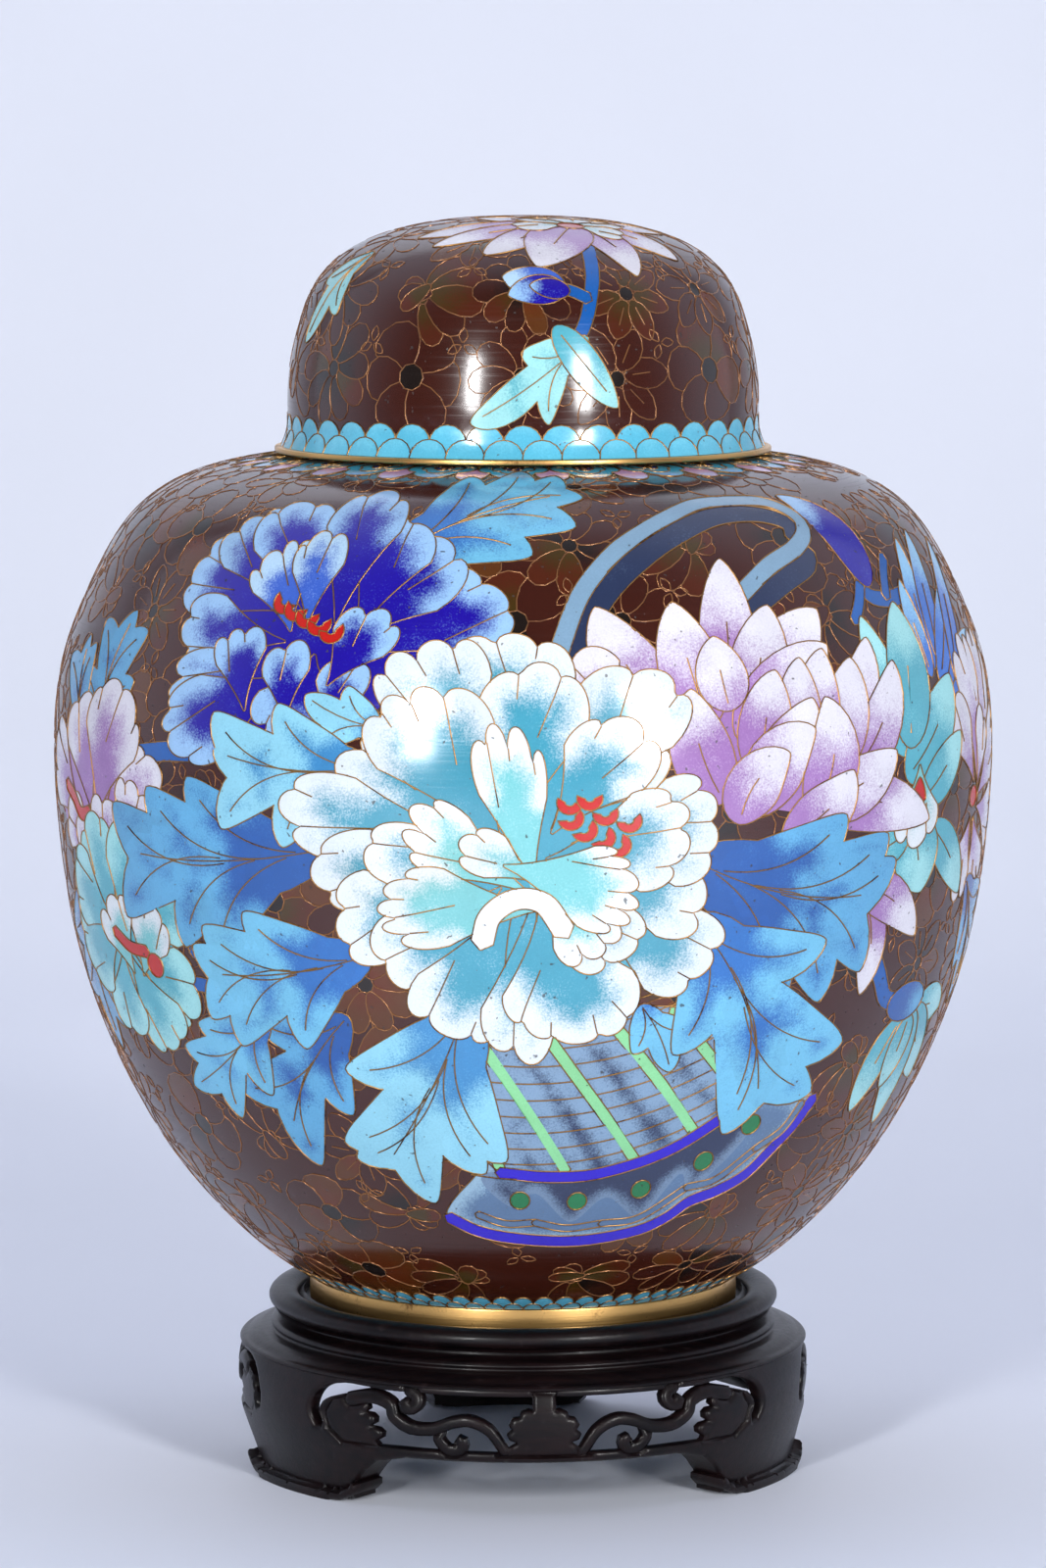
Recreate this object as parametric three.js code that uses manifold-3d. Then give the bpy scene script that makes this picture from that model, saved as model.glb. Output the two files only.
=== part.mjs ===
// A lidded ginger jar in cloisonne enamel on copper, standing on a turned and pierced hardwood stand.
// Millimetres, +Z up. The origin is on the floor under the jar's axis, and the front faces -Y.
import * as THREE from "three";
import { mergeVertices } from "three/addons/utils/BufferGeometryUtils.js";
import Module from "manifold-3d";

const wasm = await Module();
wasm.setup();

// Driving heights above the floor
const SEAT_Z = 46;
const FOOT_TOP_Z = 53.6;
const NECK_ROOT_Z = 284.6;
const NECK_TOP_Z = 312;
const LID_RIM_Z = 285.2;
const LID_TOP_Z = 350.5;

// Walls and clearances
const WALL = 2.4;
const JOINT_GAP = 0.05;
const TURN_STEPS = 48;

// The jar
const FOOT_RADIUS = 60.2;
const FOOT_WALL = 2.8;
const BASE_PUSH_UP = 1.2;
const NECK_RADIUS = 60.5;
const NECK_LIP = 0.6;
// Radius and height where the wall's outline bends, from the foot to the neck
const JAR_STATIONS = [
  [FOOT_RADIUS, FOOT_TOP_Z],
  [68.4, 58.8],
  [80.4, 68.7],
  [98.0, 88.9],
  [114.8, 119.1],
  [125.0, 149.2],
  [129.8, 179.2],
  [131.3, 204],
  [128.2, 229],
  [120.6, 248.8],
  [106.5, 270.6],
  [94.2, 278.4],
  [79, 282.6],
  [NECK_RADIUS, NECK_ROOT_Z],
];

// The lid
const LID_RIM_RADIUS = 69.2;
const LID_RIM_HEIGHT = 1.6;
const LID_SKIRT_RADIUS = 67.4;
const LID_STATIONS = [
  [LID_SKIRT_RADIUS, LID_RIM_Z + LID_RIM_HEIGHT],
  [66.0, 290.4],
  [65.6, 297.6],
  [64.6, 310.7],
  [62.6, 319.4],
  [57.4, 332.4],
  [48.5, 341.1],
  [38.7, 345.6],
  [20, 349.5],
  [0, LID_TOP_Z],
];

// The stand
const HOLE_RADIUS = 50;
const SEAT_RADIUS = 62;
const NECK_OF_STAND = 66.5;
const RING_MOULDING = { radius: 67.6, height: 46.9, halfWidth: 4.2, halfHeight: 2.9 };
const RING_FOOT_Z = 43.2;
const APRON_RADIUS = 81;
const APRON_FOOT_Z = 14.8;
const APRON_WALL = 7.5;
const APRON_TOP_Z = 34.4;
const LEG_INSIDE = 67;
const TOP_BOARD = { inside: 60, under: 37, top: 41.2, steps: [[78, 35.8], [75, 37.4], [70.8, 38.4], [70.8, 40.6]] };
const LEG_FOOT_Z = 0.8;
const LEG_COUNT = 3;
// The front apron's middle is turned this far towards +X
const STAND_TURN = THREE.MathUtils.degToRad(4.2);

const COLOURS = { enamel: 0x3f1a10, brass: 0xb08a4f, wood: 0x1d1012 };

function points(pairs) {
  return pairs.map(([r, z]) => new THREE.Vector2(r, z));
}

// A smooth outline through radius and height stations.
function outline(stations, divisions) {
  return new THREE.SplineCurve(points(stations)).getSpacedPoints(divisions);
}

// The same outline moved sideways by a wall's thickness, towards the inside.
function inset(curve, wall) {
  return curve.map((p, i) => {
    const next = curve[Math.min(i + 1, curve.length - 1)];
    const along = next.clone().sub(curve[Math.max(i - 1, 0)]).normalize();
    return new THREE.Vector2(Math.max(p.x - along.y * wall, 0), p.y + along.x * wall);
  });
}

// Turns a profile about the Z axis, starting at the front.
function turned(profile, steps = TURN_STEPS) {
  return new THREE.LatheGeometry(profile, steps).rotateX(Math.PI / 2);
}

function jarShell() {
  const outside = outline(JAR_STATIONS, 18);
  const mouth = NECK_RADIUS - WALL;
  const inner = inset(outline(JAR_STATIONS, 11), WALL);
  const rising = inner.filter((p) => p.x > mouth + 1 && p.y > FOOT_TOP_Z + WALL + 4).reverse();
  const bottom = FOOT_TOP_Z + BASE_PUSH_UP;
  return turned([
    ...points([[0, bottom], [FOOT_RADIUS - FOOT_WALL - 2, FOOT_TOP_Z]]),
    ...outside,
    ...points([[mouth, NECK_ROOT_Z], [mouth, NECK_ROOT_Z - WALL]]),
    ...rising,
    ...points([[FOOT_RADIUS - WALL * 1.6, bottom + WALL], [0, bottom + WALL]]),
  ]);
}

// The plain metal collar that the lid fits over.
function jarNeck() {
  const root = NECK_ROOT_Z + JOINT_GAP;
  const mouth = NECK_RADIUS - WALL;
  return turned(points([
    [mouth, root], [NECK_RADIUS, root], [NECK_RADIUS, NECK_TOP_Z - NECK_LIP],
    [NECK_RADIUS - NECK_LIP, NECK_TOP_Z], [mouth, NECK_TOP_Z], [mouth, root],
  ]));
}

function jarFootRing() {
  const top = FOOT_TOP_Z - JOINT_GAP;
  const inner = FOOT_RADIUS - FOOT_WALL;
  return turned(points([
    [inner, SEAT_Z], [FOOT_RADIUS - 0.3, SEAT_Z], [FOOT_RADIUS, SEAT_Z + 0.6],
    [FOOT_RADIUS - 0.3, (SEAT_Z + top) / 2], [FOOT_RADIUS, top], [inner, top], [inner, SEAT_Z],
  ]));
}

function lidDome() {
  const outside = outline(LID_STATIONS, 13);
  const inside = inset(outline(LID_STATIONS, 9), WALL).slice(1, -1).reverse();
  const skirtInside = new THREE.Vector2(LID_SKIRT_RADIUS - WALL, LID_RIM_Z + LID_RIM_HEIGHT);
  return turned([new THREE.Vector2(0, LID_TOP_Z - WALL), ...inside, skirtInside, ...outside]);
}

function lidRim() {
  const top = LID_RIM_Z + LID_RIM_HEIGHT - JOINT_GAP;
  const inner = LID_SKIRT_RADIUS - WALL;
  return turned(points([
    [inner, LID_RIM_Z], [LID_RIM_RADIUS - 0.5, LID_RIM_Z], [LID_RIM_RADIUS, LID_RIM_Z + 0.5],
    [LID_RIM_RADIUS, top - 0.4], [LID_RIM_RADIUS - 0.6, top], [inner, top], [inner, LID_RIM_Z],
  ]));
}

// The turned ring: a seat for the foot inside, a fat half-round moulding outside.
function standRing() {
  const { radius, height, halfWidth, halfHeight } = RING_MOULDING;
  const moulding = new THREE.EllipseCurve(radius, height, halfWidth, halfHeight, -Math.PI / 2.4, Math.PI);
  const seat = SEAT_Z - JOINT_GAP;
  return turned([
    ...points([[HOLE_RADIUS, RING_FOOT_Z], [NECK_OF_STAND + 1, RING_FOOT_Z]]),
    ...points([[radius + 2.6, RING_FOOT_Z + 0.3]]),
    ...moulding.getPoints(7),
    ...points([[SEAT_RADIUS, height + 1.5], [SEAT_RADIUS, seat]]),
    ...points([[HOLE_RADIUS, seat], [HOLE_RADIUS, RING_FOOT_Z]]),
  ]);
}

// Radius of the apron's bulging face at a height.
const APRON_FACE = [
  [76.4, LEG_FOOT_Z], [76.8, 4], [79.3, APRON_FOOT_Z], [80.6, 21], [APRON_RADIUS, 27], [79.4, APRON_TOP_Z],
];
function faceRadius(z) {
  const above = APRON_FACE.findIndex(([, height]) => height > z);
  if (above < 1) return APRON_FACE[above === 0 ? 0 : APRON_FACE.length - 1][0];
  const [[r0, z0], [r1, z1]] = [APRON_FACE[above - 1], APRON_FACE[above]];
  return THREE.MathUtils.mapLinear(z, z0, z1, r0, r1);
}

// A geometry as a solid that can be joined and cut.
function solid(geometry) {
  const bare = geometry.clone();
  bare.deleteAttribute("normal");
  bare.deleteAttribute("uv");
  const merged = mergeVertices(bare, 1e-4);
  return new wasm.Manifold(new wasm.Mesh({
    numProp: 3,
    vertProperties: Float32Array.from(merged.attributes.position.array),
    triVerts: Uint32Array.from(merged.index.array),
  }));
}

function geometryOf(made) {
  const mesh = made.getMesh();
  const geometry = new THREE.BufferGeometry();
  geometry.setAttribute("position", new THREE.BufferAttribute(mesh.vertProperties, 3));
  geometry.setIndex(new THREE.BufferAttribute(mesh.triVerts, 1));
  geometry.computeVertexNormals();
  return geometry;
}

// A flat shape drawn on the unrolled apron (arc degrees from its middle, height), made a block and bent round it.
function bentBlock(shapePoints, innerAt, outerAt, middle = 0) {
  const block = new THREE.ExtrudeGeometry(new THREE.Shape(shapePoints), { depth: 1, bevelEnabled: false });
  const place = block.attributes.position;
  for (let i = 0; i < place.count; i += 1) {
    const height = place.getY(i);
    const angle = THREE.MathUtils.degToRad(place.getX(i)) + middle;
    const radius = place.getZ(i) < 0.5 ? innerAt(height) : outerAt(height);
    place.setXYZ(i, radius * Math.sin(angle), -radius * Math.cos(angle), height);
  }
  return solid(block);
}

// Outline of a band with round ends that follows a smooth path, in degrees and height.
const MM_PER_DEGREE = (APRON_RADIUS * Math.PI) / 180;
function band(path, width, endWidth = width, divisions = Math.ceil(path.length * 1.4)) {
  const scaled = path.map(([a, z]) => new THREE.Vector2(a * MM_PER_DEGREE, z));
  const curve = new THREE.SplineCurve(scaled);
  const left = [];
  const right = [];
  for (let i = 0; i <= divisions; i += 1) {
    const share = i / divisions;
    const at = curve.getPoint(share);
    const along = curve.getTangent(share);
    const half = THREE.MathUtils.lerp(width, endWidth, share) / 2;
    left.push(new THREE.Vector2(at.x - along.y * half, at.y + along.x * half));
    right.push(new THREE.Vector2(at.x + along.y * half, at.y - along.x * half));
  }
  const tip = curve.getPoint(1).addScaledVector(curve.getTangent(1), endWidth / 2);
  const tail = curve.getPoint(0).addScaledVector(curve.getTangent(0), -width / 2);
  return [tail, ...right, tip, ...left.reverse()].map((p) => new THREE.Vector2(p.x / MM_PER_DEGREE, p.y));
}

function mirrored(shapePoints) {
  return shapePoints.map((p) => new THREE.Vector2(-p.x, p.y)).reverse();
}

function roundedWindow({ halfDegrees, low, high, corner }) {
  const cornerDegrees = corner / MM_PER_DEGREE;
  const shape = [];
  const centres = [[low + corner, -90], [high - corner, 0]];
  for (const [z, start] of centres) {
    for (let turn = 0; turn <= 90; turn += 45) {
      const angle = THREE.MathUtils.degToRad(start + turn);
      const across = halfDegrees - cornerDegrees * (1 - Math.cos(angle));
      shape.push(new THREE.Vector2(across, z + corner * Math.sin(angle)));
    }
  }
  return [...shape, ...mirrored(shape)];
}

// Carving of half an apron. Paths are arc degrees from its middle and height.
const WINDOW = { halfDegrees: 37, low: 17.6, high: 33.2, corner: 2.5 };
const GROOVE = [[36, 32], [42.5, 32], [47.6, 29.6], [49.7, 25], [48.6, 21.4]];
const VINE = [
  [7.6, 17.4], [10.6, 23.4], [14.4, 26.1], [18.2, 25.6], [22.4, 23.4],
  [27, 23.4], [30.3, 26], [31.4, 29.4], [35.5, 31], [41, 29.4],
];
const UPPER_CURL = [[27.6, 34], [25.4, 31.4], [26.6, 29.2], [28.4, 29.6]];
const LOWER_CURL = [[20.4, 24.6], [21, 20.8], [19, 17.8], [16.4, 18.6], [16.6, 20.8]];
const LEAF = [
  [38, 31], [41, 30.6], [45, 29], [47.2, 25], [46.4, 20.6], [43, 17], [34, 17], [34.8, 19.4],
  [33.2, 21.4], [36.2, 23], [34.8, 25.2], [37.2, 26.2], [36.4, 28.6], [38.4, 29],
];
const PALMETTE = { neckHalf: 2.3, fanHalf: 5.2, fanZ: 26, fanRise: 3.3, baseHalf: 9.4 };

function palmetteShape() {
  const { neckHalf, fanHalf, fanZ, fanRise, baseHalf } = PALMETTE;
  const half = [new THREE.Vector2(baseHalf, WINDOW.low - 1), new THREE.Vector2(fanHalf - 1, fanZ - fanRise)];
  for (let turn = -30; turn <= 60; turn += 30) {
    const angle = THREE.MathUtils.degToRad(turn);
    half.push(new THREE.Vector2(fanHalf * Math.cos(angle), fanZ + fanRise * Math.sin(angle)));
  }
  half.push(new THREE.Vector2(neckHalf, WINDOW.high + 1));
  return [...half, ...mirrored(half)];
}

// The space under an apron, between two feet.
function archShape() {
  const half = [[41.5, -2], [41.5, 3], [40.2, 6.4], [38, 9.6], [35, 12.8], [28, APRON_FOOT_Z]];
  const side = half.map(([a, z]) => new THREE.Vector2(a, z));
  return [...side, ...mirrored(side)];
}

// A foot's pad, flat underneath, whose two ends curl up.
const FOOT_PAD = { thick: 2.4, outside: 79.6, flatHalf: 12, curlHalf: 17.5, tipHalf: 20, curlZ: 2.6, tipZ: 5 };
const FLOOR_SNAP = 0.05;
function padShape() {
  const { thick, flatHalf, curlHalf, tipHalf, curlZ, tipZ } = FOOT_PAD;
  const flatZ = thick / 2;
  const half = [[flatHalf, flatZ], [curlHalf, curlZ], [tipHalf, tipZ]];
  const otherHalf = half.map(([a, z]) => [-a, z]).reverse();
  const shape = band([...otherHalf, ...half], thick, thick, 10);
  return shape.map((p) => new THREE.Vector2(p.x, p.y < FLOOR_SNAP ? 0 : p.y));
}

function standBase() {
  const { inside, under, steps, top } = TOP_BOARD;
  const innerFace = APRON_RADIUS - APRON_WALL;
  const seam = RING_FOOT_Z - JOINT_GAP;
  const profile = points([
    [LEG_INSIDE, LEG_FOOT_Z], ...APRON_FACE, ...steps, [NECK_OF_STAND, top], [NECK_OF_STAND, seam], [inside, seam],
    [inside, under], [innerFace, under - 3], [innerFace, APRON_FOOT_Z + 2], [LEG_INSIDE, APRON_FOOT_Z - 2],
    [LEG_INSIDE, LEG_FOOT_Z],
  ]);
  let made = solid(turned(profile));
  // A block's flat sides cut across the round apron, so a cutter starts and ends well clear of it
  const clearInside = () => inside - 8;
  const clearOutside = () => APRON_RADIUS * 2.5;
  const carvedInside = () => innerFace + 0.4;
  const carvedOutside = (z) => faceRadius(z) - 0.5;
  const groove = band(GROOVE, 3, 3.4);
  const cuts = [archShape(), roundedWindow(WINDOW), groove, mirrored(groove)];
  const half = [band(VINE, 2.6, 3), band(UPPER_CURL, 3, 3.8), band(LOWER_CURL, 2.6, 3.2), points(LEAF)];
  const carved = [palmetteShape(), ...half, ...half.map(mirrored)];
  for (let k = 0; k < LEG_COUNT; k += 1) {
    const middle = STAND_TURN + (k * 2 * Math.PI) / LEG_COUNT;
    for (const shape of cuts) made = made.subtract(bentBlock(shape, clearInside, clearOutside, middle));
    for (const shape of carved) made = made.add(bentBlock(shape, carvedInside, carvedOutside, middle));
    const foot = middle + Math.PI / LEG_COUNT;
    made = made.add(bentBlock(padShape(), () => LEG_INSIDE + 1, () => FOOT_PAD.outside, foot));
  }
  return geometryOf(made);
}

function finish(colour, roughness, metalness) {
  return new THREE.MeshStandardMaterial({ color: colour, roughness, metalness });
}

function piece(name, geometry, material) {
  const mesh = new THREE.Mesh(geometry, material);
  mesh.name = name;
  return mesh;
}

const jar = new THREE.Group();
jar.add(
  piece("jar_shell", jarShell(), finish(COLOURS.enamel, 0.15, 0)),
  piece("jar_neck", jarNeck(), finish(COLOURS.brass, 0.35, 1)),
  piece("jar_foot_ring", jarFootRing(), finish(COLOURS.brass, 0.35, 1)),
);
const lid = new THREE.Group();
lid.add(
  piece("lid_dome", lidDome(), finish(COLOURS.enamel, 0.15, 0)),
  piece("lid_rim", lidRim(), finish(COLOURS.brass, 0.35, 1)),
);
const stand = new THREE.Group();
stand.add(
  piece("stand_ring", standRing(), finish(COLOURS.wood, 0.3, 0)),
  piece("stand_base", standBase(), finish(COLOURS.wood, 0.3, 0)),
);

const gingerJar = new THREE.Group();
gingerJar.add(stand, jar, lid);
export default gingerJar;
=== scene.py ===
"""A lidded ginger jar in cloisonne enamel, standing on its turned and pierced hardwood stand.

The enamel picture is drawn on a chart of the wall, as cells in painter's order. The jar's chart is its wall
unrolled, and the lid's is the lid seen from above. The cells that show are cut into the wall's mesh, and a
wire is laid along every edge that shows. Sizes are in millimetres, and become metres where a mesh is made.
"""

import enum
import logging
import math
from dataclasses import dataclass
from typing import Any, Callable, Sequence

import bpy
import numpy as np
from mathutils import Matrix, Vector
from mathutils.geometry import delaunay_2d_cdt
from mathutils.kdtree import KDTree


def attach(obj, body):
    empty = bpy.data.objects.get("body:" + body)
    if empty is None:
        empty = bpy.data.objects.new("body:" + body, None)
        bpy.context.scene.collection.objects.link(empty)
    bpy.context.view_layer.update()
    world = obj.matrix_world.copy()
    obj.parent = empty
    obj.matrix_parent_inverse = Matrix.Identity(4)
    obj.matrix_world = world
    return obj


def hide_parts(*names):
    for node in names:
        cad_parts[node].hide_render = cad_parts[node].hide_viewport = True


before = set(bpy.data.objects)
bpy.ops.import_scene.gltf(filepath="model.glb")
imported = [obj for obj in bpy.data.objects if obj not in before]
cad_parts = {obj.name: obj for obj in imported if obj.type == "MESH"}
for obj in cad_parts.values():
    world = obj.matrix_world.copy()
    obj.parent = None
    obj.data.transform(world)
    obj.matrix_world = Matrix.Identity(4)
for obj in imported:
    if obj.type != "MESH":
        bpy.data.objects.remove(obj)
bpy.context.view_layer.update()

LOG = logging.getLogger("ginger_jar")
MM = 0.001
TURN = 2 * math.pi
Array = np.ndarray
Material = bpy.types.Material
Mesh = bpy.types.Mesh
Piece = bpy.types.Object
Socket = bpy.types.NodeSocket
Pair = tuple[float, float]
Triple = tuple[float, float, float]
Rows = Sequence[Pair]

WIRE_SLACK = 0.045  # how far a thinned run of wire may stray
SHORTEST_RUN = 0.3  # runs of wire up to this length are left out
SEAM = 1e-3  # how near to the seam of a chart a point counts as on it
MERGED = 1e-5  # how near to each other two points of a chart count as one
SLIVER = 1e-7  # triangles of a chart with up to half this area are left out
OPENING = 60  # an open edge with more vertices than this is an opening of the wall
SOFT_CORNER = 0.8  # the cosine from which two closing surfaces shade as one
INSIDE_ROWS = 26  # how many stations the inner side of a wall has
THICKNESS = 2.4  # how thick the enamelled walls are


def colour(red: int, green: int, blue: int) -> Triple:
    """Turn a screen colour, 0 to 255, into the linear one that shaders use."""
    shares = (value / 255 for value in (red, green, blue))
    return tuple(s / 12.92 if s <= 0.04045 else ((s + 0.055) / 1.055) ** 2.4 for s in shares)


class Glaze(enum.Enum):
    """The enamels: the deep colour, and the light one that gathers at a petal's edge."""

    GROUND = ((54, 20, 11), (54, 20, 11))
    GROUND_AMBER = ((84, 36, 12), (78, 42, 14))
    GROUND_OLIVE = ((58, 42, 10), (70, 28, 12))
    GROUND_DARK = ((24, 16, 12), (50, 20, 12))
    PEONY = ((62, 138, 160), (197, 206, 212))
    PEONY_PALE = ((108, 176, 180), (200, 207, 211))
    COBALT = ((26, 10, 138), (136, 174, 212))
    COBALT_PALE = ((50, 86, 178), (160, 190, 214))
    LEAF_DEEP = ((30, 78, 146), (84, 150, 190))
    LEAF = ((40, 98, 166), (100, 168, 200))
    LEAF_PALE = ((58, 124, 174), (128, 186, 206))
    LILAC = ((146, 108, 164), (204, 202, 211))
    TURQUOISE = ((74, 156, 172), (146, 202, 204))
    SKY = ((84, 172, 200), (100, 182, 206))
    SPIKE = ((62, 110, 192), (136, 186, 220))
    STEM = ((20, 80, 150), (34, 98, 168))
    SLATE = ((38, 48, 76), (100, 122, 148))
    STEEL = ((112, 142, 166), (122, 150, 172))
    GREEN = ((124, 190, 136), (132, 196, 142))
    DOT = ((24, 106, 64), (40, 130, 80))
    HEM = ((40, 20, 176), (46, 28, 186))
    WHITE = ((204, 210, 214), (210, 215, 218))
    RED = ((176, 26, 18), (192, 40, 26))
    PINK = ((190, 146, 184), (206, 172, 200))
    BASKET = ((38, 50, 80), (112, 138, 164))
    FOOT = ((80, 106, 138), (132, 162, 182))
    CLOUD = ((70, 168, 198), (120, 166, 220))


def curve_through(points: Rows, step: float, closed: bool = False) -> Array:
    """Draw a smooth line through points, with a point about every step.

    Args:
        points: The places it passes through.
        step: The distance between the points that come back.
        closed: Whether it comes back to its start.

    Returns:
        The points of the line, the start not repeated where it is closed.
    """
    knots = np.asarray(points, float)
    if closed:
        knots = np.vstack([knots[-1], knots, knots[:2]])
    else:
        knots = np.vstack([2 * knots[0] - knots[1], knots, 2 * knots[-1] - knots[-2]])
    line = []
    for before, start, end, after in zip(knots, knots[1:], knots[2:], knots[3:]):
        count = max(2, round(float(np.linalg.norm(end - start)) / step))
        share = np.linspace(0, 1, count, endpoint=False)[:, None]
        cubic = -before + 3 * start - 3 * end + after
        square = 2 * before - 5 * start + 4 * end - after
        line.append(0.5 * (2 * start + (end - before) * share + square * share**2 + cubic * share**3))
    if not closed:
        line.append(knots[-2][None])
    return np.vstack(line)


def inside(points: Array, edge: Array) -> Array:
    """Tell which points lie inside a closed outline.

    Args:
        points: The points to look at.
        edge: The outline, its start not repeated.

    Returns:
        True for each point inside.
    """
    x, y = points[:, 0, None], points[:, 1, None]
    x0, y0 = edge[:, 0], edge[:, 1]
    x1, y1 = np.roll(x0, -1), np.roll(y0, -1)
    rise = np.where(np.abs(y1 - y0) < 1e-12, 1e-12, y1 - y0)
    crossed = ((y0 > y) != (y1 > y)) & (x < (x1 - x0) * (y - y0) / rise + x0)
    return crossed.sum(axis=1) % 2 == 1


def thinned(line: Array, slack: float) -> Array:
    """Drop the points that a line doesn't need to stay within a distance of its course.

    Args:
        line: The points of the line.
        slack: How far the thinned line may stray.

    Returns:
        The points that are kept.
    """
    keep = np.zeros(len(line), bool)
    keep[[0, -1]] = True
    spans = [(0, len(line) - 1)]
    while spans:
        first, last = spans.pop()
        if last - first < 2:
            continue
        chord = line[last] - line[first]
        length = float(np.linalg.norm(chord))
        away = line[first + 1 : last] - line[first]
        if length < 1e-9:
            stray = np.linalg.norm(away, axis=1)
        else:
            stray = np.abs(away[:, 0] * chord[1] - away[:, 1] * chord[0]) / length
        worst = int(stray.argmax())
        if stray[worst] > slack:
            middle = first + 1 + worst
            keep[middle] = True
            spans += [(first, middle), (middle, last)]
    return line[keep]


def unit(rows: Array) -> Array:
    """Scale every row to length 1."""
    return rows / np.linalg.norm(rows, axis=1)[:, None]


def beside(rows: Array) -> Array:
    """Turn every row a quarter to the left."""
    return np.stack([-rows[:, 1], rows[:, 0]], 1)


def ray(angle: Array) -> Array:
    """Give the directions at angles from the chart's right."""
    return np.stack([np.cos(angle), np.sin(angle)], 1)


def compass(angle: Array) -> Array:
    """Give the directions at angles round the axis from the front."""
    return np.stack([np.sin(angle), -np.cos(angle)], 1)


def turned(shape: Array, angle: float) -> Array:
    """Turn a shape round its origin."""
    return shape @ np.array([[math.cos(angle), math.sin(angle)], [-math.sin(angle), math.cos(angle)]])


def mirrored(rows: Rows) -> list[Pair]:
    """Close a half outline with its mirror image."""
    return [*rows, *((-across, up) for across, up in reversed(rows))]


def split_up(line: Array, step: float, whole: bool) -> Array:
    """Put points on each stretch of a line.

    Args:
        line: The line's corners.
        step: How far apart the points are at most.
        whole: Whether each stretch keeps its own last point.

    Returns:
        The points.
    """
    made = []
    for start, end in zip(line, line[1:]):
        count = max(2, math.ceil(np.linalg.norm(end - start) / step))
        made.append(np.linspace(start, end, count, endpoint=whole))
    return np.vstack(made)


class WallLine:
    """A smooth outline through radius and height stations, measured by its run in millimetres."""

    def __init__(self, stations: Rows, crowned: bool = False) -> None:
        """Fit the outline.

        Args:
            stations: Radius and height where the outline bends.
            crowned: Whether it ends level on the axis.
        """
        knots = np.asarray(stations, float)
        kept = len(knots)
        if crowned:
            knots = np.vstack([knots, knots[-2::-1] * (-1, 1)])
        steps = np.linalg.norm(np.diff(knots, axis=0), axis=1)
        at = np.r_[0, np.cumsum(steps)]
        count = len(at)
        system, right = np.eye(count), np.zeros((count, 2))
        for i in range(1, count - 1):
            system[i, i - 1 : i + 2] = steps[i - 1], 2 * (steps[i - 1] + steps[i]), steps[i]
            right[i] = 6 * ((knots[i + 1] - knots[i]) / steps[i] - (knots[i] - knots[i - 1]) / steps[i - 1])
        bend = np.linalg.solve(system, right)
        fine = np.linspace(0, at[kept - 1], 1600)
        k = np.clip(np.searchsorted(at, fine) - 1, 0, count - 2)
        near, far = (at[k + 1] - fine) / steps[k], (fine - at[k]) / steps[k]
        curl = (near**3 - near)[:, None] * bend[k] + (far**3 - far)[:, None] * bend[k + 1]
        chord = near[:, None] * knots[k] + far[:, None] * knots[k + 1]
        self.points = chord + curl * (steps[k] ** 2)[:, None] / 6
        self.run = np.r_[0, np.cumsum(np.linalg.norm(np.diff(self.points, axis=0), axis=1))]
        self.outward = -beside(unit(np.gradient(self.points, self.run, axis=0)))
        self.length = float(self.run[-1])

    def radius(self, run: Array | float) -> Array | float:
        """Give the radius at a run."""
        return np.interp(run, self.run, self.points[:, 0])

    def normal(self, angle: Array, run: Array) -> Array:
        """Give the wall's outward direction at angles and runs."""
        out, up = (np.interp(run, self.run, self.outward[:, k]) for k in (0, 1))
        return unit(np.column_stack([compass(angle) * out[:, None], up]))

    def place(self, angle: Array, run: Array) -> Array:
        """Put angles and runs on the wall, in metres."""
        radius, height = (np.interp(run, self.run, self.points[:, k]) for k in (0, 1))
        return np.column_stack([compass(angle) * radius[:, None], height]) * MM


class BeltChart:
    """The jar's wall unrolled: across is angle times a radius, up is the run."""

    def __init__(self, line: WallLine, radius: float) -> None:
        """Keep the wall's outline and the radius that the angle is measured at."""
        self.line, self.radius = line, radius
        self.half = math.pi * radius

    def flat(self, angle: Array | float, run: Array | float) -> Array:
        """Put angles and runs on the chart."""
        return np.stack(np.broadcast_arrays(np.asarray(angle) * self.radius, run), axis=-1).astype(float)

    def wall(self, spots: Array) -> tuple[Array, Array]:
        """Read angle and run from the chart."""
        return spots[:, 0] / self.radius, spots[:, 1]

    def local(self, angle: float, run: float) -> Callable[[Array], Array]:
        """Give what puts millimetres across and up from a place on the wall on the chart.

        Args:
            angle: The place's angle.
            run: Its run.

        Returns:
            A function of the places.
        """
        stretch = self.radius / float(self.line.radius(run))
        return lambda offsets: self.flat(angle, run) + offsets * (stretch, 1)

    def border(self, step: float) -> Array:
        """Outline the whole chart, its start not repeated.

        Args:
            step: The distance between its points.

        Returns:
            The outline's points.
        """
        across = np.linspace(-self.half, self.half, round(2 * self.half / step) + 1)
        up = np.linspace(0, self.line.length, round(self.line.length / step) + 1)
        low = np.stack([across, 0 * across], 1)
        right = np.stack([0 * up + self.half, up], 1)
        sides = (low, right, (low + (0, self.line.length))[::-1], (right - (2 * self.half, 0))[::-1])
        return np.vstack([side[:-1] for side in sides])

    def holds(self, spots: Array) -> Array:
        """Tell which spots lie on the chart.

        Args:
            spots: The spots.

        Returns:
            True for each spot on it.
        """
        x, y = spots[:, 0], spots[:, 1]
        return (np.abs(x) < self.half) & (y > 0) & (y < self.line.length)

    def copies(self, edge: Array) -> list[Array]:
        """Give an outline, and its twin past the seam where it crosses the seam.

        Args:
            edge: The outline.

        Returns:
            The outline and its twins.
        """
        made = [edge]
        if edge[:, 0].max() > self.half:
            made.append(edge - (2 * self.half, 0))
        if edge[:, 0].min() < -self.half:
            made.append(edge + (2 * self.half, 0))
        return made


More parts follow.
